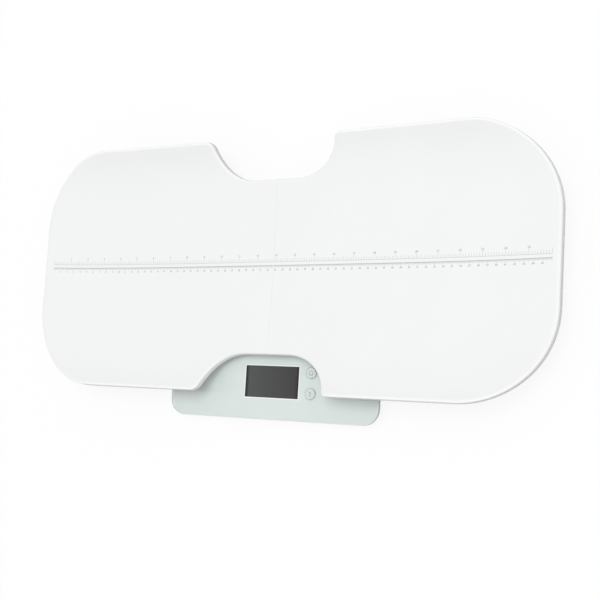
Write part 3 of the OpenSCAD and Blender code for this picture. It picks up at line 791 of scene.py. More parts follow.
def lettering(name: str, text: str, size: float, place: Vector, thickness: float) -> Piece:
    """Makes flat lettering, centred on a place, as a thin closed mesh.

    Args:
        name: The piece's name.
        text: What it says.
        size: The height of a line of text.
        place: The middle of its underside.
        thickness: How thick it is.

    Returns:
        The new object.
    """
    curve = bpy.data.curves.new(name, "FONT")
    curve.body = text
    curve.size = size
    curve.align_x, curve.align_y = "CENTER", "CENTER"
    curve.extrude = thickness / 2
    curve.resolution_u = 2
    holder = bpy.data.objects.new(name, curve)
    mesh = bpy.data.meshes.new_from_object(holder)
    bpy.data.objects.remove(holder)
    mesh.transform(Matrix.Translation(place + Vector((0, 0, thickness / 2))))
    return new_piece(name, mesh)


def finish_piece(piece: Piece, body: Body, material: Material) -> None:
    """Gives a piece its body and its material, and reports it.

    Args:
        piece: The finished piece.
        body: The rigid body that it rides on.
        material: Its own material.
    """
    piece.data.materials.clear()
    piece.data.materials.append(material)
    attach(piece, body.value)
    log.info("%s: %d faces, rides on %s", piece.name, len(piece.data.polygons), body.value)


# ------------------------------------------------------------------------ tray


@dataclass
class DishedTray:
    """The loose moulding: a fourth-power dish with a rolled rim and a scallop in each long edge."""

    low: Vector
    high: Vector
    glass_top: float
    surface_height: float = 9.5 * MM
    end_rise: float = 17 * MM
    side_rise: float = 29 * MM
    corner_radius: float = 103 * MM
    wall: float = 2.4 * MM
    rim_radius: float = 4.6 * MM
    rim_steps: int = 8
    skirt: float = 10 * MM
    flare: float = 0.6 * MM
    edge_round: float = 0.5 * MM
    edge_steps: int = 3
    scallop_depth: float = 46.5 * MM
    scallop_floor: float = 58 * MM
    scallop_radius: float = 54 * MM
    lip_radius: float = 10 * MM
    rib_thickness: float = 2 * MM
    rib_reach: float = 7 * MM
    rib_y: float = 80 * MM
    rib_x: float = 105 * MM
    rib_length: float = 560 * MM
    rib_step: float = 6 * MM
    boss_radius: float = 8 * MM
    boss_steps: int = 48
    pad_height: float = 2 * MM
    lug_width: float = 34 * MM
    lug_drop: float = 4 * MM
    lug_gap: float = 0.8 * MM
    lug_step: float = 4 * MM
    facet: float = 3.2 * MM
    arc_steps: int = 8
    ring_count: int = 26
    ring_ease: float = 1.3
    lift: GeometryTree = field(init=False)

    def __post_init__(self) -> None:
        """Works out the tray's middle and builds the tree that dishes its pieces."""
        self.half_length = (self.high.x - self.low.x) / 2
        self.half_depth = (self.high.y - self.low.y) / 2
        self.middle = (self.low.y + self.high.y) / 2
        self.spine = self.half_length - self.corner_radius
        self.rim_inset = self.flare + self.rim_radius
        self.lift = self.lift_tree()

    def lift_tree(self) -> GeometryTree:
        """Builds the tree that lifts flat geometry to the dish, but not below a level.

        Returns:
            The tree.
        """
        g = GeometryTree("dish_lift")
        x, y, z = g.axes(g.out("GeometryNodeInputPosition"))
        along = g.math("DIVIDE", x, g.value("Half Length"))
        across = g.math("DIVIDE", g.math("SUBTRACT", y, g.value("Middle")), g.value("Half Depth"))
        rise = [
            g.math("MULTIPLY", g.math("POWER", g.math("ABSOLUTE", share), 4.0), g.value(name))
            for share, name in ((along, "End Rise"), (across, "Side Rise"))
        ]
        height = g.math("ADD", g.math("ADD", *rise), g.math("ADD", z, g.value("Surface")))
        place = g.vector(x, y, g.math("MAXIMUM", height, g.value("Lowest")))
        inputs = {"Geometry": g.geometry, "Position": place}
        g.close(g.out("GeometryNodeSetPosition", inputs))
        return g

    def lift_values(self, lowest: float = 0.0) -> dict[str, float]:
        """The lift tree's inputs.

        Args:
            lowest: The level that nothing goes below.

        Returns:
            The values by name.
        """
        return {
            "Half Length": self.half_length,
            "Half Depth": self.half_depth,
            "Middle": self.middle,
            "End Rise": self.end_rise,
            "Side Rise": self.side_rise,
            "Surface": self.glass_top + self.surface_height,
            "Lowest": lowest,
        }

    def dished(self, piece: Piece, lowest: float = 0.0) -> Piece:
        """Lays a flat piece on the dish, but not below a level, and returns it."""
        self.lift.apply(piece, self.lift_values(lowest))
        return piece

    def outline(self) -> list[Spot]:
        """The tray's outline in plan, clockwise, as points with their outward directions.

        Returns:
            An even number of pairs, mirrored across both middle lines.
        """
        quarter: list[Spot] = []

        def line(a: Point, b: Point, direction: Point) -> None:
            """Adds a straight stretch without its last point.

            Args:
                a: Its start.
                b: Its end.
                direction: The outward direction.
            """
            start, end = Vector(a), Vector(b)
            steps = math.ceil((end - start).length / self.facet)
            for i in range(steps):
                quarter.append((start.lerp(end, i / steps), Vector(direction)))

        def arc(centre: Point, radius: float, start: float, end: float, sign: int) -> None:
            """Adds an arc without its last point.

            Args:
                centre: Its centre.
                radius: Its radius.
                start: The angle at its start.
                end: The angle at its end.
                sign: 1 where outwards is away from the centre, or -1.
            """
            steps = max(self.arc_steps, math.ceil(abs(end - start) * radius / self.facet))
            for i in range(steps):
                angle = start + (end - start) * i / steps
                away = Vector((math.cos(angle), math.sin(angle)))
                quarter.append((Vector(centre) + radius * away, sign * away))

        def flipped(spots: list[Spot], x: int, y: int) -> list[Spot]:
            """Mirrors spots by the signs x and y."""
            return [(Vector((p.x * x, p.y * y)), Vector((d.x * x, d.y * y))) for p, d in spots]

        right = math.pi / 2
        floor_end = self.scallop_floor / 2
        floor = self.half_depth - self.scallop_depth
        reach = self.scallop_radius + self.lip_radius
        flank = math.acos(1 - self.scallop_depth / reach)
        lip = floor_end + reach * math.sin(flank)
        corner = self.half_depth - self.corner_radius
        line((0, floor), (floor_end, floor), (0, 1))
        dip = (floor_end, floor + self.scallop_radius)
        arc(dip, self.scallop_radius, -right, flank - right, -1)
        arc((lip, self.half_depth - self.lip_radius), self.lip_radius, right + flank, right, 1)
        line((lip, self.half_depth), (self.spine, self.half_depth), (0, 1))
        arc((self.spine, corner), self.corner_radius, right, 0, 1)
        steps = math.ceil(corner / self.facet)
        for i in range(steps):
            quarter.append((Vector((self.half_length, corner * (1 - i / steps))), Vector((1, 0))))

        right_end = [(Vector((self.half_length, 0)), Vector((1, 0)))]
        half = quarter + right_end + flipped(quarter[:0:-1], 1, -1)
        floor_middle = flipped(quarter[:1], 1, -1)
        return half + floor_middle + flipped(half[:0:-1], -1, 1)

    def section(self) -> list[Point]:
        """The skin's cross-section at the rim, as (inset from the outline, drop below the dish).

        Returns:
            Points from the weighing surface over the rim and round the skirt to the underside.
        """
        inner = self.rim_radius - self.wall
        foot = self.skirt - self.edge_round
        roll, rounding = (
            [math.pi / 2 * i / steps for i in range(steps + 1)]
            for steps in (self.rim_steps, self.edge_steps)
        )
        r = self.edge_round
        outer_roll = [
            (self.rim_inset - self.rim_radius * math.sin(a), self.rim_radius * (1 - math.cos(a)))
            for a in roll
        ]
        lower_edge = [(r - r * math.cos(a), foot + r * math.sin(a)) for a in rounding]
        inner_edge = [(self.wall - r + r * math.sin(a), foot + r * math.cos(a)) for a in rounding]
        inner_roll = [
            (self.rim_inset - inner * math.sin(a), self.rim_radius - inner * math.cos(a))
            for a in roll[::-2]
        ]
        return outer_roll + lower_edge + inner_edge + inner_roll

    def skin(self) -> Piece:
        """Makes the flat skin: rings from the middle line out over the rim and back underneath.

        Returns:
            The closed skin, not yet dished.
        """
        outline = self.outline()
        count = len(outline)
        steps = range(self.ring_count - 1, 0, -1)
        shares = [(i / self.ring_count) ** self.ring_ease for i in steps]

        def sheet(share: float, drop: float) -> list[Vector]:
            """One ring of the sheet.

            Args:
                share: How far it is from the middle line to the rim.
                drop: How far it lies below the dish.

            Returns:
                The ring's points.
            """
            ring = []
            for p, away in outline:
                rim = p - away * self.rim_inset
                core = Vector((max(-self.spine, min(self.spine, rim.x)), 0))
                spot = core.lerp(rim, share)
                ring.append(Vector((spot.x, spot.y + self.middle, -drop)))
            return ring

        def edge(inset: float, drop: float) -> list[Vector]:
            """One ring of the rim or the skirt.

            Args:
                inset: How far it lies inside the outline.
                drop: How far it lies below the dish.

            Returns:
                The ring's points.
            """
            return [
                Vector((p.x - away.x * inset, p.y - away.y * inset + self.middle, -drop))
                for p, away in outline
            ]

        rings = [sheet(share, 0.0) for share in reversed(shares)]
        rings += [edge(*point) for point in self.section()]
        rings += [sheet(share, self.wall) for share in shares]
        faces = []
        for k in range(len(rings) - 1):
            for i in range(count):
                a, b = k * count + i, k * count + (i + 1) % count
                faces.append((a, b, b + count, a + count))
        last = (len(rings) - 1) * count
        right_end = count // 4
        for k in range(count // 2):
            face = list(dict.fromkeys((right_end + i) % count for i in (-k, -k - 1, k + 1, k)))
            faces += [tuple(face), tuple(last + i for i in reversed(face))]
        return mesh_piece("skin", [p for ring in rings for p in ring], faces)

    def ribs(self) -> list[Piece]:
        """Makes the ribs that stiffen the underside, which follow the dish.

        Returns:
            The ribs.
        """
        runs = []
        for side in (-1, 1):
            y = self.middle + side * self.rib_y
            runs.append([Vector((end * self.rib_length / 2, y)) for end in (-1, 1)])
            for x in (side * self.rib_x, 2 * side * self.rib_x):
                runs.append([Vector((x, self.middle + end * self.rib_y)) for end in (-1, 1)])
        heights = (-self.rib_reach, -self.wall / 2)
        return [
            self.dished(bar("rib", run, self.rib_thickness, heights, self.rib_step))
            for run in runs
        ]

    def lugs(self, glass_low: Vector, glass_high: Vector) -> list[Piece]:
        """Makes the lugs that locate the tray round the glass.

        Args:
            glass_low: The glass plate's lowest corner.
            glass_high: The glass plate's highest corner.

        Returns:
            The lugs, with level lower edges.
        """
        clear = self.lug_gap + self.rib_thickness / 2
        reach = (self.rib_y - self.lug_width, self.rib_y)
        runs = []
        for side, edge in ((-1, glass_low.x - clear), (1, glass_high.x + clear)):
            for end in (-1, 1):
                runs.append([Vector((edge, self.middle + end * y)) for y in reach])
            places = (side * (self.rib_x - k * self.lug_width) for k in (2, 1))
            runs.append([Vector((x, glass_high.y + clear)) for x in places])
        heights = (-(self.side_rise + self.skirt + self.surface_height), -self.wall / 2)
        lowest = self.glass_top - self.lug_drop
        return [
            self.dished(bar("lug", run, self.rib_thickness, heights, self.lug_step), lowest)
            for run in runs
        ]

    def bosses(self) -> list[Piece]:
        """Makes the bosses over the rubber pads.

        Returns:
            The bosses, with level undersides.
        """
        deep, top = -(self.side_rise + self.surface_height), -self.wall / 2
        profile = [(0.0, deep), (self.boss_radius, deep), (self.boss_radius, top), (0.0, top)]
        found = []
        for corner in Corner:
            x, y = corner.value
            centre = Vector((x * self.rib_x, self.middle + y * self.rib_y))
            boss = lathe("boss", profile, centre, self.boss_steps)
            found.append(self.dished(boss, self.glass_top + self.pad_height))
        return found

    def build(self, glass_low: Vector, glass_high: Vector, plastic: Material) -> None:
        """Builds and dresses the whole moulding.

        Args:
            glass_low: The glass plate's lowest corner.
            glass_high: The glass plate's highest corner.
            plastic: The tray's material.
        """
        parts = [self.dished(self.skin()), *self.ribs(), *self.lugs(glass_low, glass_high)]
        tray = joined("tray_moulding", [*parts, *self.bosses()])
        smooth(tray)
        finish_piece(tray, Body.TRAY, plastic)
        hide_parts("tray_shell")


@dataclass(frozen=True)
class RuleSide:
    """One side of the measuring rule: its unit, its ticks and its numbers."""

    name: str
    unit: float
    count: int
    parts: int
    ticks: tuple[float, float, float]
    digits: float
    sign: int

    @property
    def turn(self) -> float:
        """How far the ticks turn to point away from the lines."""
        return 0.0 if self.sign > 0 else math.pi


@dataclass
class MeasuringRule:
    """The rule printed along the tray: inches above a double line and centimetres below it."""

    tray: DishedTray
    start: float = -327.7 * MM
    line_y: float = 15.9 * MM
    line_gap: float = 4.4 * MM
    upper_line: float = 0.7 * MM
    lower_line: float = 0.9 * MM
    line_step: float = 5 * MM
    tick_width: float = 0.35 * MM
    inches: RuleSide = RuleSide(
        "inch_ticks", INCH, 26, 8, (5.4 * MM, 4.2 * MM, 3.2 * MM), 3.6 * MM, 1
    )
    centimetres: RuleSide = RuleSide(
        "centimetre_ticks", CENTIMETRE, 66, 10, (3.2 * MM, 2.4 * MM, 1.5 * MM), 3.0 * MM, -1
    )
    digit_gap: float = 0.5 * MM
    sunk: float = 0.05 * MM
    proud: float = 0.05 * MM
    seam_width: float = 0.9 * MM

    def __post_init__(self) -> None:
        """Works out the print's thickness, and where each side's ticks and line lie."""
        self.thickness = self.sunk + self.proud
        self.upper_y = self.line_y + self.line_gap
        self.edges = (
            (self.inches, self.upper_y + self.upper_line / 2, self.upper_y),
            (self.centimetres, self.line_y - self.lower_line / 2, self.line_y),
        )

    def tick_tree(self) -> GeometryTree:
        """Builds the tree for a row of ticks of three lengths, laid on the dish.

        Returns:
            The tree.
        """
        g = GeometryTree("rule_ticks")
        line = {
            "Count": g.value("Count", "Int"),
            "Start Location": g.value("Start", "Vector"),
            "Offset": g.vector(g.value("Spacing")),
        }
        points = g.out("GeometryNodeMeshLine", line)
        index = g.out("GeometryNodeInputIndex")
        length = g.value("Part Length")
        for kind in ("Half", "Whole"):
            rest = g.math("MODULO", index, g.value(kind + " Every", "Int"))
            choice = {
                "Switch": g.math("COMPARE", rest, 0.0, 0.1),
                "True": g.value(kind + " Tick Length"),
                "False": length,
            }
            length = g.out("GeometryNodeSwitch", choice, input_type="FLOAT")
        cube = g.out("GeometryNodeMeshCube", {"Size": (1, 1, 1)})
        tick = {
            "Points": points,
            "Instance": g.out(
                "GeometryNodeTransform", {"Geometry": cube, "Translation": (0, 0.5, 0.5)}
            ),
            "Rotation": g.vector(0.0, 0.0, g.value("Turn")),
            "Scale": g.vector(g.value("Width"), length, g.value("Thickness")),
        }
        placed = g.out("GeometryNodeInstanceOnPoints", tick)
        ticks = g.out("GeometryNodeRealizeInstances", {"Geometry": placed})
        sizes = {name: g.value(name) for name in self.tray.lift_values()}
        inputs = {"Geometry": ticks, "Finish": g.finish, **sizes}
        g.close(g.out("GeometryNodeGroup", inputs, node_tree=self.tray.lift.tree))
        return g

    def tick_rows(self, ink: Material) -> list[Piece]:
        """Makes the row of inch ticks and the row of centimetre ticks.

        Args:
            ink: The ticks' material.

        Returns:
            The two rows.
        """
        tree = self.tick_tree()
        found = []
        for side, foot, _ in self.edges:
            row = new_piece(side.name, bpy.data.meshes.new(side.name))
            tree.apply(row, {
                **self.tray.lift_values(),
                "Count": side.count * side.parts + 1,
                "Spacing": side.unit / side.parts,
                "Whole Every": side.parts,
                "Half Every": side.parts // 2,
                "Start": (self.start, foot, -self.sunk),
                "Whole Tick Length": side.ticks[0],
                "Half Tick Length": side.ticks[1],
                "Part Length": side.ticks[2],
                "Width": self.tick_width,
                "Thickness": self.thickness,
                "Turn": side.turn,
                "Finish": ink,
            })
            found.append(row)
        return found

    def line(self, name: str, ends: Spot, width: float, proud: float) -> Piece:
        """Makes a line that is printed on the dish or moulded in it.

        Args:
            name: The piece's name.
            ends: Its ends, in plan.
            width: How wide it is.
            proud: How far it stands out.

        Returns:
            The new object.
        """
        return self.tray.dished(bar(name, ends, width, (-self.sunk, proud), self.line_step))

    def lines(self) -> list[Piece]:
        """Makes the lower and the upper long line.

        Returns:
            The two lines.
        """
        end = self.start + self.inches.count * INCH
        found = []
        for y, width in ((self.line_y, self.lower_line), (self.upper_y, self.upper_line)):
            ends = Vector((self.start, y)), Vector((end, y))
            found.append(self.line("line", ends, width, self.proud))
        return found

    def numbers(self) -> list[Piece]:
        """Makes the numbers over the inch ticks and under the centimetre ticks.

        Returns:
            The numbers.
        """
        found = []
        for side, _, line in self.edges:
            y = line + side.sign * (side.ticks[0] + self.digit_gap + side.digits / 2)
            for n in range(1, side.count):
                place = Vector((self.start + n * side.unit, y, -self.sunk))
                number = lettering("number", str(n), side.digits, place, self.thickness)
                found.append(self.tray.dished(number))
        return found

    def seam(self) -> Piece:
        """Makes the fine raised line across the tray, from one scallop to the other.

        Returns:
            The line.
        """
        reach = self.tray.half_depth - self.tray.scallop_depth - 2 * self.tray.rim_radius
        ends = [Vector((0, self.tray.middle + side * reach)) for side in (-1, 1)]
        return self.line("tray_seam", ends, self.seam_width, 2 * self.proud)

    def build(self) -> None:
        """Builds and dresses the print and the raised line."""
        dark, middle, pale = (
            Ink(f"rule_ink_{name}", (grey, grey + 0.005, grey + 0.01)).material()
            for name, grey in (("dark", 0.5), ("middle", 0.72), ("pale", 0.82))
        )
        seam_plastic = Moulded("seam_plastic", (0.922, 0.924, 0.925), tone=0.994).material()
        lower, upper = self.lines()
        upper.name = "rule_upper_line"
        for piece, material in (
            (joined("rule_ticks", [*self.tick_rows(middle), lower]), middle),
            (joined("rule_numbers", self.numbers()), dark),
            (upper, pale),
            (self.seam(), seam_plastic),
        ):
            finish_piece(piece, Body.TRAY, material)


# -------------------------------------------------------------------- platform


@dataclass
class KeyMark:
    """The mark on a key's dished cap."""

    cap_low: Vector
    cap_high: Vector
    body: Body
    radius: float = 6.2 * MM
    edge: float = 0.5 * MM
    dish: float = 0.5 * MM
    sunk: float = 0.05 * MM
    proud: float = 0.04 * MM
    stroke: float = 0.55 * MM
    ring: float = 2.6 * MM
    ring_gap: float = math.radians(38)
    ring_steps: int = 40
    bar_step: float = 0.5 * MM
    upright: Point = (0.9 * MM, 3.2 * MM)
    unit_size: float = 3.2 * MM
    units: tuple[tuple[str, float], ...] = (("kg", 1.5 * MM), ("lb", -1.7 * MM))

    def __post_init__(self) -> None:
        """Works out the cap's middle in plan and the mark's thickness."""
        self.centre = (self.cap_low.xy + self.cap_high.xy) / 2
        self.thickness = self.sunk + self.proud

    def on_cap(self, piece: Piece) -> None:
        """Lays a flat piece on the dished cap.

        Args:
            piece: The piece, whose underside is at 0.
        """
        span = self.radius - self.edge
        curve = (span**2 + self.dish**2) / (2 * self.dish)
        for vertex in piece.data.vertices:
            away = (vertex.co.xy - self.centre).length
            height = self.cap_high.z - self.dish + curve - math.sqrt(curve**2 - away**2)
            vertex.co.z += height - self.sunk

    def power_mark(self) -> Piece:
        """Makes an open ring with an upright bar.

        Returns:
            The mark, still flat.
        """
        points, faces = [], []
        for i in range(self.ring_steps + 1):
            swept = (math.tau - 2 * self.ring_gap) * i / self.ring_steps
            angle = math.pi / 2 + self.ring_gap + swept
            away = Vector((math.cos(angle), math.sin(angle)))
            for radius in (self.ring - self.stroke / 2, self.ring + self.stroke / 2):
                spot = self.centre + away * radius
                points += [Vector((*spot, 0)), Vector((*spot, self.thickness))]
        last = 4 * self.ring_steps
        for k in range(0, last, 4):
            faces += [(k, k + 1, k + 5, k + 4), (k + 2, k + 6, k + 7, k + 3),
                      (k + 1, k + 3, k + 7, k + 5), (k, k + 4, k + 6, k + 2)]
        faces += [(0, 2, 3, 1), (last, last + 1, last + 3, last + 2)]
        ring = mesh_piece("ring", points, faces)
        ends = [self.centre + Vector((0, y)) for y in self.upright]
        upright = bar("upright", ends, self.stroke, (0, self.thickness), self.bar_step)
        return joined("key_upper_mark", [ring, upright])

    def unit_mark(self) -> Piece:
        """Makes the two units, one over the other.

        Returns:
            The mark, still flat.
        """
        lines = []
        for text, rise in self.units:
            place = Vector((*(self.centre + Vector((0, rise))), 0))
            lines.append(lettering("unit", text, self.unit_size, place, self.thickness))
        return joined("key_lower_mark", lines)

    def build(self, ink: Material) -> None:
        """Builds and dresses the mark.

        Args:
            ink: The mark's material.
        """
        mark = self.power_mark() if self.body is Body.KEY_UPPER else self.unit_mark()
        self.on_cap(mark)
        finish_piece(mark, self.body, ink)


@dataclass
class SensorLead:
    """A flat lead of three wires that follows its route under the glass and turns on a radius."""

    corner: Corner
    route: list[Point]
    height: float
    turn: float = 3.2 * MM
    turn_steps: int = 8
    pitch: float = 1.2 * MM
    wire: float = 0.6 * MM
    wire_sides: int = 10
    smooth_degrees: float = 60.0

    def wire_tree(self) -> GeometryTree:
        """Builds the tree that sweeps one wire along a route.

        Returns:
            The tree.
        """
        g = GeometryTree("lead_wire")
        curve = g.out("GeometryNodeMeshToCurve", {"Mesh": g.geometry})
        bend = {"Curve": curve, "Radius": g.value("Turn"), "Count": self.turn_steps}
        eased = g.out("GeometryNodeFilletCurve", bend, mode="POLY")
        sides = {0: g.out("GeometryNodeInputTangent"), 1: (0.0, 0.0, 1.0)}
        aside = g.out("ShaderNodeVectorMath", sides, operation="CROSS_PRODUCT")
        shift = g.out(
            "ShaderNodeVectorMath", {0: aside, "Scale": g.value("Aside")}, operation="SCALE"
        )
        moved = g.out("GeometryNodeSetPosition", {"Geometry": eased, "Offset": shift})
        circle = {"Resolution": self.wire_sides, "Radius": g.value("Radius")}
        ring = g.out("GeometryNodeCurvePrimitiveCircle", circle)
        sweep = {"Curve": moved, "Profile Curve": ring, "Fill Caps": True}
        g.close(g.out("GeometryNodeCurveToMesh", sweep))
        return g

    def build(self, jackets: list[Material]) -> None:
        """Builds and dresses the three wires, side by side.

        Args:
            jackets: The wires' materials.
        """
        tree = self.wire_tree()
        for k, jacket in zip((-1, 0, 1), jackets):
            mesh = bpy.data.meshes.new("wire")
            points = [(x, y, self.height) for x, y in self.route]
            mesh.from_pydata(points, [(i, i + 1) for i in range(len(points) - 1)], [])
            wire = new_piece(f"lead_{self.corner.suffix}_wire_{k + 2}", mesh)
            values = {"Turn": self.turn, "Aside": k * self.pitch, "Radius": self.wire}
            tree.apply(wire, {**values, "Finish": jacket})
            turn_outwards(wire.data)
            smooth(wire, self.smooth_degrees)
            finish_piece(wire, Body.PLATFORM, jacket)
        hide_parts("sensor_lead_" + self.corner.suffix)


@dataclass
class Platform:
    """The glass platform with its display, housings, feet and leads, dressed node by node."""

    nodes: dict[str, Piece]
    bond: float = 0.05 * MM
    window_size: Point = (72 * MM, 38 * MM)
    view_size: Point = (62.4 * MM, 36.4 * MM)
    cell_band: float = 11 * MM
    wire_depth: float = 0.65 * MM

    def __post_init__(self) -> None:
        """Works out where the display's window is."""
        low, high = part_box("lcd_panel")
        self.window_centre = tuple((low.xy + high.xy) / 2)

    def dress(self, material: Material, names: list[str]) -> None:
        """Gives a material to nodes of the frame, and reports them.

        Args:
            material: The material.
            names: The nodes' names.
        """
        for name in names:
            mesh = self.nodes[name].data
            mesh.materials.clear()
            mesh.materials.append(material)
            log.info("%s: dressed as %s", name, material.name)

    def finishes(self) -> list[tuple[Finish, str]]:
        """The finishes of the nodes that are dressed as they are.

        Returns:
            Each finish with the names of its nodes, where a star stands for every corner.
        """
        return [
            (Moulded("shell_plastic", (0.9, 0.9, 0.895), roughness=0.5, depth=0.02 * MM),
             "display_housing housing_cover battery_door lcd_frame lead_clips "
             "sensor_housing_* foot_cup_*"),
            (Rubber("foot_rubber", (0.6, 0.6, 0.59)), "foot_pad_*"),
            (Rubber("pad_rubber", (0.78, 0.78, 0.77)), "tray_pads"),
            (Moulded("key_plastic", (0.845, 0.875, 0.862), roughness=0.42),
             "key_upper_cap key_lower_cap"),
            (Moulded("switch_plastic", (0.13, 0.13, 0.14), roughness=0.5),
             "key_upper_plunger key_upper_switch key_lower_plunger key_lower_switch"),
            (Moulded("light_guide", (0.93, 0.93, 0.88), roughness=0.3), "backlight"),
            (Rubber("contact_rubber", (0.22, 0.22, 0.23)), "connector_strips"),
            (Metal("screw_steel", (0.68, 0.68, 0.69), 0.32), "cover_screws board_screws"),
            (Metal("contact_nickel", (0.79, 0.77, 0.72), 0.22),
             "battery_contacts battery_springs"),
            (Metal("load_cell_steel", (0.64, 0.65, 0.67), 0.34, (12, 1, 12)), "load_cell_*"),
            (Moulded("gauge_sealant", (0.8, 0.66, 0.42), roughness=0.25), "strain_gauges"),
            (CircuitBoard("circuit_board", (0.05, 0.26, 0.13), (0.08, 0.36, 0.18),
                          (0.78, 0.74, 0.6)), "main_board"),
            (Moulded("chip_resin", (0.05, 0.05, 0.055), roughness=0.22), "controller_chip"),
        ]

    def build(self) -> None:
        """Dresses every node of the platform and adds the key marks and the wires."""
        glass = PlateGlass(
            "plate_glass", (0.993, 0.999, 0.997), (0.93, 0.955, 0.947), (0.82, 0.865, 0.85)
        )
        self.dress(glass.material(), ["glass_plate"])
        self.film()
        self.display()
        for finish, names in self.finishes():
            found = []
            for name in names.split():
                ends = [corner.suffix for corner in Corner] if name.endswith("*") else [""]
                found += [name.rstrip("*") + end for end in ends]
            self.dress(finish.material(), found)
        self.cells()
        self.leads()
        ink = Ink("key_ink", (0.5, 0.54, 0.53)).material()
        for key in (Body.KEY_UPPER, Body.KEY_LOWER):
            KeyMark(*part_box(key.value + "_cap"), key).build(ink)

    def film(self) -> None:
        """Builds the print as a film that reaches a hair into the glass, which it is bonded to."""
        middle = sum(corner.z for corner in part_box("back_print")) / 2
        work = bmesh.new()
        work.from_mesh(self.nodes["back_print"].data)
        bmesh.ops.remove_doubles(work, verts=work.verts, dist=0.001 * MM)
        for vertex in work.verts:
            if vertex.co.z > middle:
                vertex.co.z += self.bond
        film = piece_from("back_film", work)
        ground, line = (0.868, 0.896, 0.886), (0.975, 0.98, 0.975)
        finish = BackPrint("back_print", ground, line, self.window_centre, self.window_size)
        finish_piece(film, Body.PLATFORM, finish.material())
        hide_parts("back_print")

    def display(self) -> None:
        """Dresses the panel, and builds the front film that bonds its window to the glass."""
        panel = DisplayPanel(
            "display_panel", (0.27, 0.285, 0.28), (0.2, 0.185, 0.19), (0.08, 0.085, 0.085),
            self.window_centre, self.view_size,
        ).material()
        self.dress(panel, ["lcd_panel"])
        (x, y), (width, depth) = self.window_centre, self.window_size
        ends = [Vector((x + side * width / 2, y)) for side in (-1, 1)]
        low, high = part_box("back_print")
        film = bar("display_front_film", ends, depth, (low.z, high.z + self.bond), width)
        finish_piece(film, Body.PLATFORM, panel)

    def cells(self) -> None:
        """Dresses the three cells, whose middle one lies the other way round."""
        for name, towards in (("battery_front", 1), ("battery_middle", -1), ("battery_back", 1)):
            low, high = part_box(name)
            edge = high.x - self.cell_band if towards > 0 else low.x + self.cell_band
            jacket, band = (0.2, 0.22, 0.25), (0.62, 0.42, 0.24)
            finish = CellJacket(f"{name}_jacket", jacket, band, edge, towards)
            self.dress(finish.material(), [name])

    def leads(self) -> None:
        """Builds the four leads along the routes of their nodes."""
        colours = {"white": (0.86, 0.86, 0.85), "red": (0.66, 0.12, 0.1), "black": (0.07,) * 3}
        jackets = [Rubber(f"wire_{name}", tone).material() for name, tone in colours.items()]
        low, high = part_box("sensor_lead_front_left")
        half = (high.y - low.y) / 2
        for corner in Corner:
            low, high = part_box("sensor_lead_" + corner.suffix)
            side, end = corner.value
            outer, inner = (low.x, high.x) if side < 0 else (high.x, low.x)
            if end < 0:
                y = (low.y + high.y) / 2
                route = [(outer, y), (inner, y)]
            else:
                x, y = outer - side * half, low.y + half
                route = [(x, high.y), (x, y), (inner, y)]
            SensorLead(corner, route, high.z - self.wire_depth).build(jackets)


# ---------------------------------------------------------------------- studio


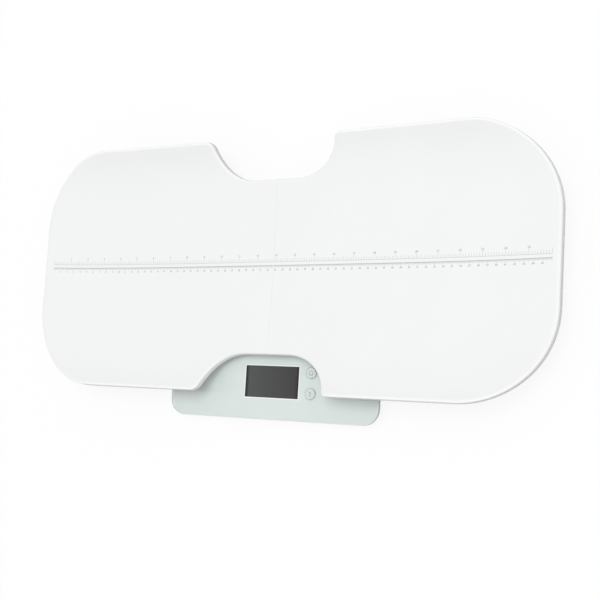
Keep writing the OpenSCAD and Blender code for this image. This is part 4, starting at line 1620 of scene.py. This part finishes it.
@dataclass
class Studio:
    """A pale floor, soft light from above and the right, and the photograph's camera."""

    azimuth: float = math.radians(78.63)
    elevation: float = math.radians(60.87)
    roll: float = math.radians(-76.52)
    distance: float = 1.18388
    focal_pixels: float = 987.05
    frame_pixels: float = 600.0
    aside: float = -6.34 * MM
    below: float = 59.12 * MM
    pivot: tuple[float, float, float] = (0.0, 14 * MM, 25 * MM)
    principal: Point = (282.61, 317.62)
    sensor: float = 36.0
    farthest: float = 20.0
    sky: float = 0.6
    lamp_place: tuple[float, float, float] = (0.95, 0.3, 4.15)
    lamp_size: float = 2.4
    lamp_watts: float = 84.0
    floor_half: float = 4.0
    floor_tone: Colour = (0.52, 0.52, 0.52)
    floor_shade: float = 0.98
    floor_patch: float = 0.5
    floor_white: Colour = (0.995, 0.995, 0.995)
    floor_glow: float = 0.87

    def camera(self) -> None:
        """Places the camera."""
        sin, cos = math.sin, math.cos
        back = Vector((
            sin(self.azimuth) * cos(self.elevation),
            -cos(self.azimuth) * cos(self.elevation),
            sin(self.elevation),
        ))
        level = Vector((cos(self.azimuth), sin(self.azimuth), 0))
        rise = back.cross(level)
        right = level * cos(self.roll) + rise * sin(self.roll)
        up = rise * cos(self.roll) - level * sin(self.roll)
        data = bpy.data.cameras.new("photo_camera")
        data.sensor_width = self.sensor
        data.lens = self.focal_pixels * self.sensor / self.frame_pixels
        data.shift_x = 0.5 - self.principal[0] / self.frame_pixels
        data.shift_y = self.principal[1] / self.frame_pixels - 0.5
        data.clip_end = self.farthest
        camera = bpy.data.objects.new("photo_camera", data)
        place = Vector(self.pivot) + back * self.distance - right * self.aside - up * self.below
        axes = Matrix((right, up, back)).transposed()
        camera.matrix_world = Matrix.Translation(place) @ axes.to_4x4()
        bpy.context.scene.collection.objects.link(camera)
        bpy.context.scene.camera = camera

    def lights(self) -> None:
        """Lights the scene with an even sky and one broad round lamp, which isn't mirrored."""
        world = bpy.data.worlds.new("sky")
        world.use_nodes = True
        world.node_tree.nodes.clear()
        g = Graph(world.node_tree)
        dim, white = (
            g.out("ShaderNodeBackground", {"Color": WHITE, "Strength": strength})
            for strength in (self.sky, 1.0)
        )
        g.add("ShaderNodeOutputWorld", {"Surface": g.mix(self.seen(g), dim, white)})
        bpy.context.scene.world = world
        data = bpy.data.lights.new("soft_lamp", "AREA")
        data.shape = "DISK"
        data.energy = self.lamp_watts
        data.size = self.lamp_size
        lamp = bpy.data.objects.new("soft_lamp", data)
        lamp.location = self.lamp_place
        lamp.visible_glossy = False
        lamp.rotation_euler = Vector(self.lamp_place).to_track_quat("Z", "Y").to_euler()
        bpy.context.scene.collection.objects.link(lamp)

    @staticmethod
    def seen(g: Graph) -> Socket:
        """Tells the rays that show the background, seen straight, mirrored or through glass.

        Args:
            g: The tree to write in.

        Returns:
            1 for such rays and 0 for others.
        """
        path = g.add("ShaderNodeLightPath").outputs
        mirrored = g.math("MAXIMUM", path["Is Glossy Ray"], path["Is Transmission Ray"])
        return g.math("MAXIMUM", path["Is Camera Ray"], mirrored)

    def floor(self) -> None:
        """Lays the floor under the feet."""
        signs = ((-1, -1), (1, -1), (1, 1), (-1, 1))
        corners = [Vector((x * self.floor_half, y * self.floor_half, 0)) for x, y in signs]
        floor = mesh_piece("studio_floor", corners, [(0, 1, 2, 3)])
        s = Surface("studio_floor")
        shade = shaded(self.floor_tone, self.floor_shade)
        grey = s.mottled(s.noise(self.floor_patch), self.floor_tone, shade)
        tone = s.blend(self.seen(s), grey, self.floor_white)
        paper = s.out("ShaderNodeBsdfDiffuse", {"Color": tone})
        white = s.out("ShaderNodeEmission", {"Strength": 1.0})
        glow = s.math("MULTIPLY", self.seen(s), self.floor_glow)
        floor.data.materials.append(s.end(s.mix(glow, paper, white)))

    def build(self) -> None:
        """Builds the camera, the lights and the floor."""
        self.camera()
        self.lights()
        self.floor()
        bpy.context.scene.view_settings.view_transform = "Standard"


def main() -> None:
    """Builds the scale's looks round the frame, class by class."""
    logging.basicConfig(level=logging.INFO, format="%(name)s: %(message)s")
    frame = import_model()

    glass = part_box("glass_plate")
    tray = DishedTray(*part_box("tray_shell"), glass_top=glass[1].z)
    plastic = TrayPlastic(
        "tray_plastic", (0.947, 0.949, 0.95), roughness=0.34, tone=0.994,
        level=glass[1].z + tray.surface_height, middle=tray.middle,
        spans=((tray.half_length, tray.end_rise), (tray.half_depth, tray.side_rise)),
    ).material()
    tray.build(*glass, plastic)
    MeasuringRule(tray).build()
    Platform(frame["nodes"]).build()
    Studio().build()


if __name__ == "__main__":
    main()
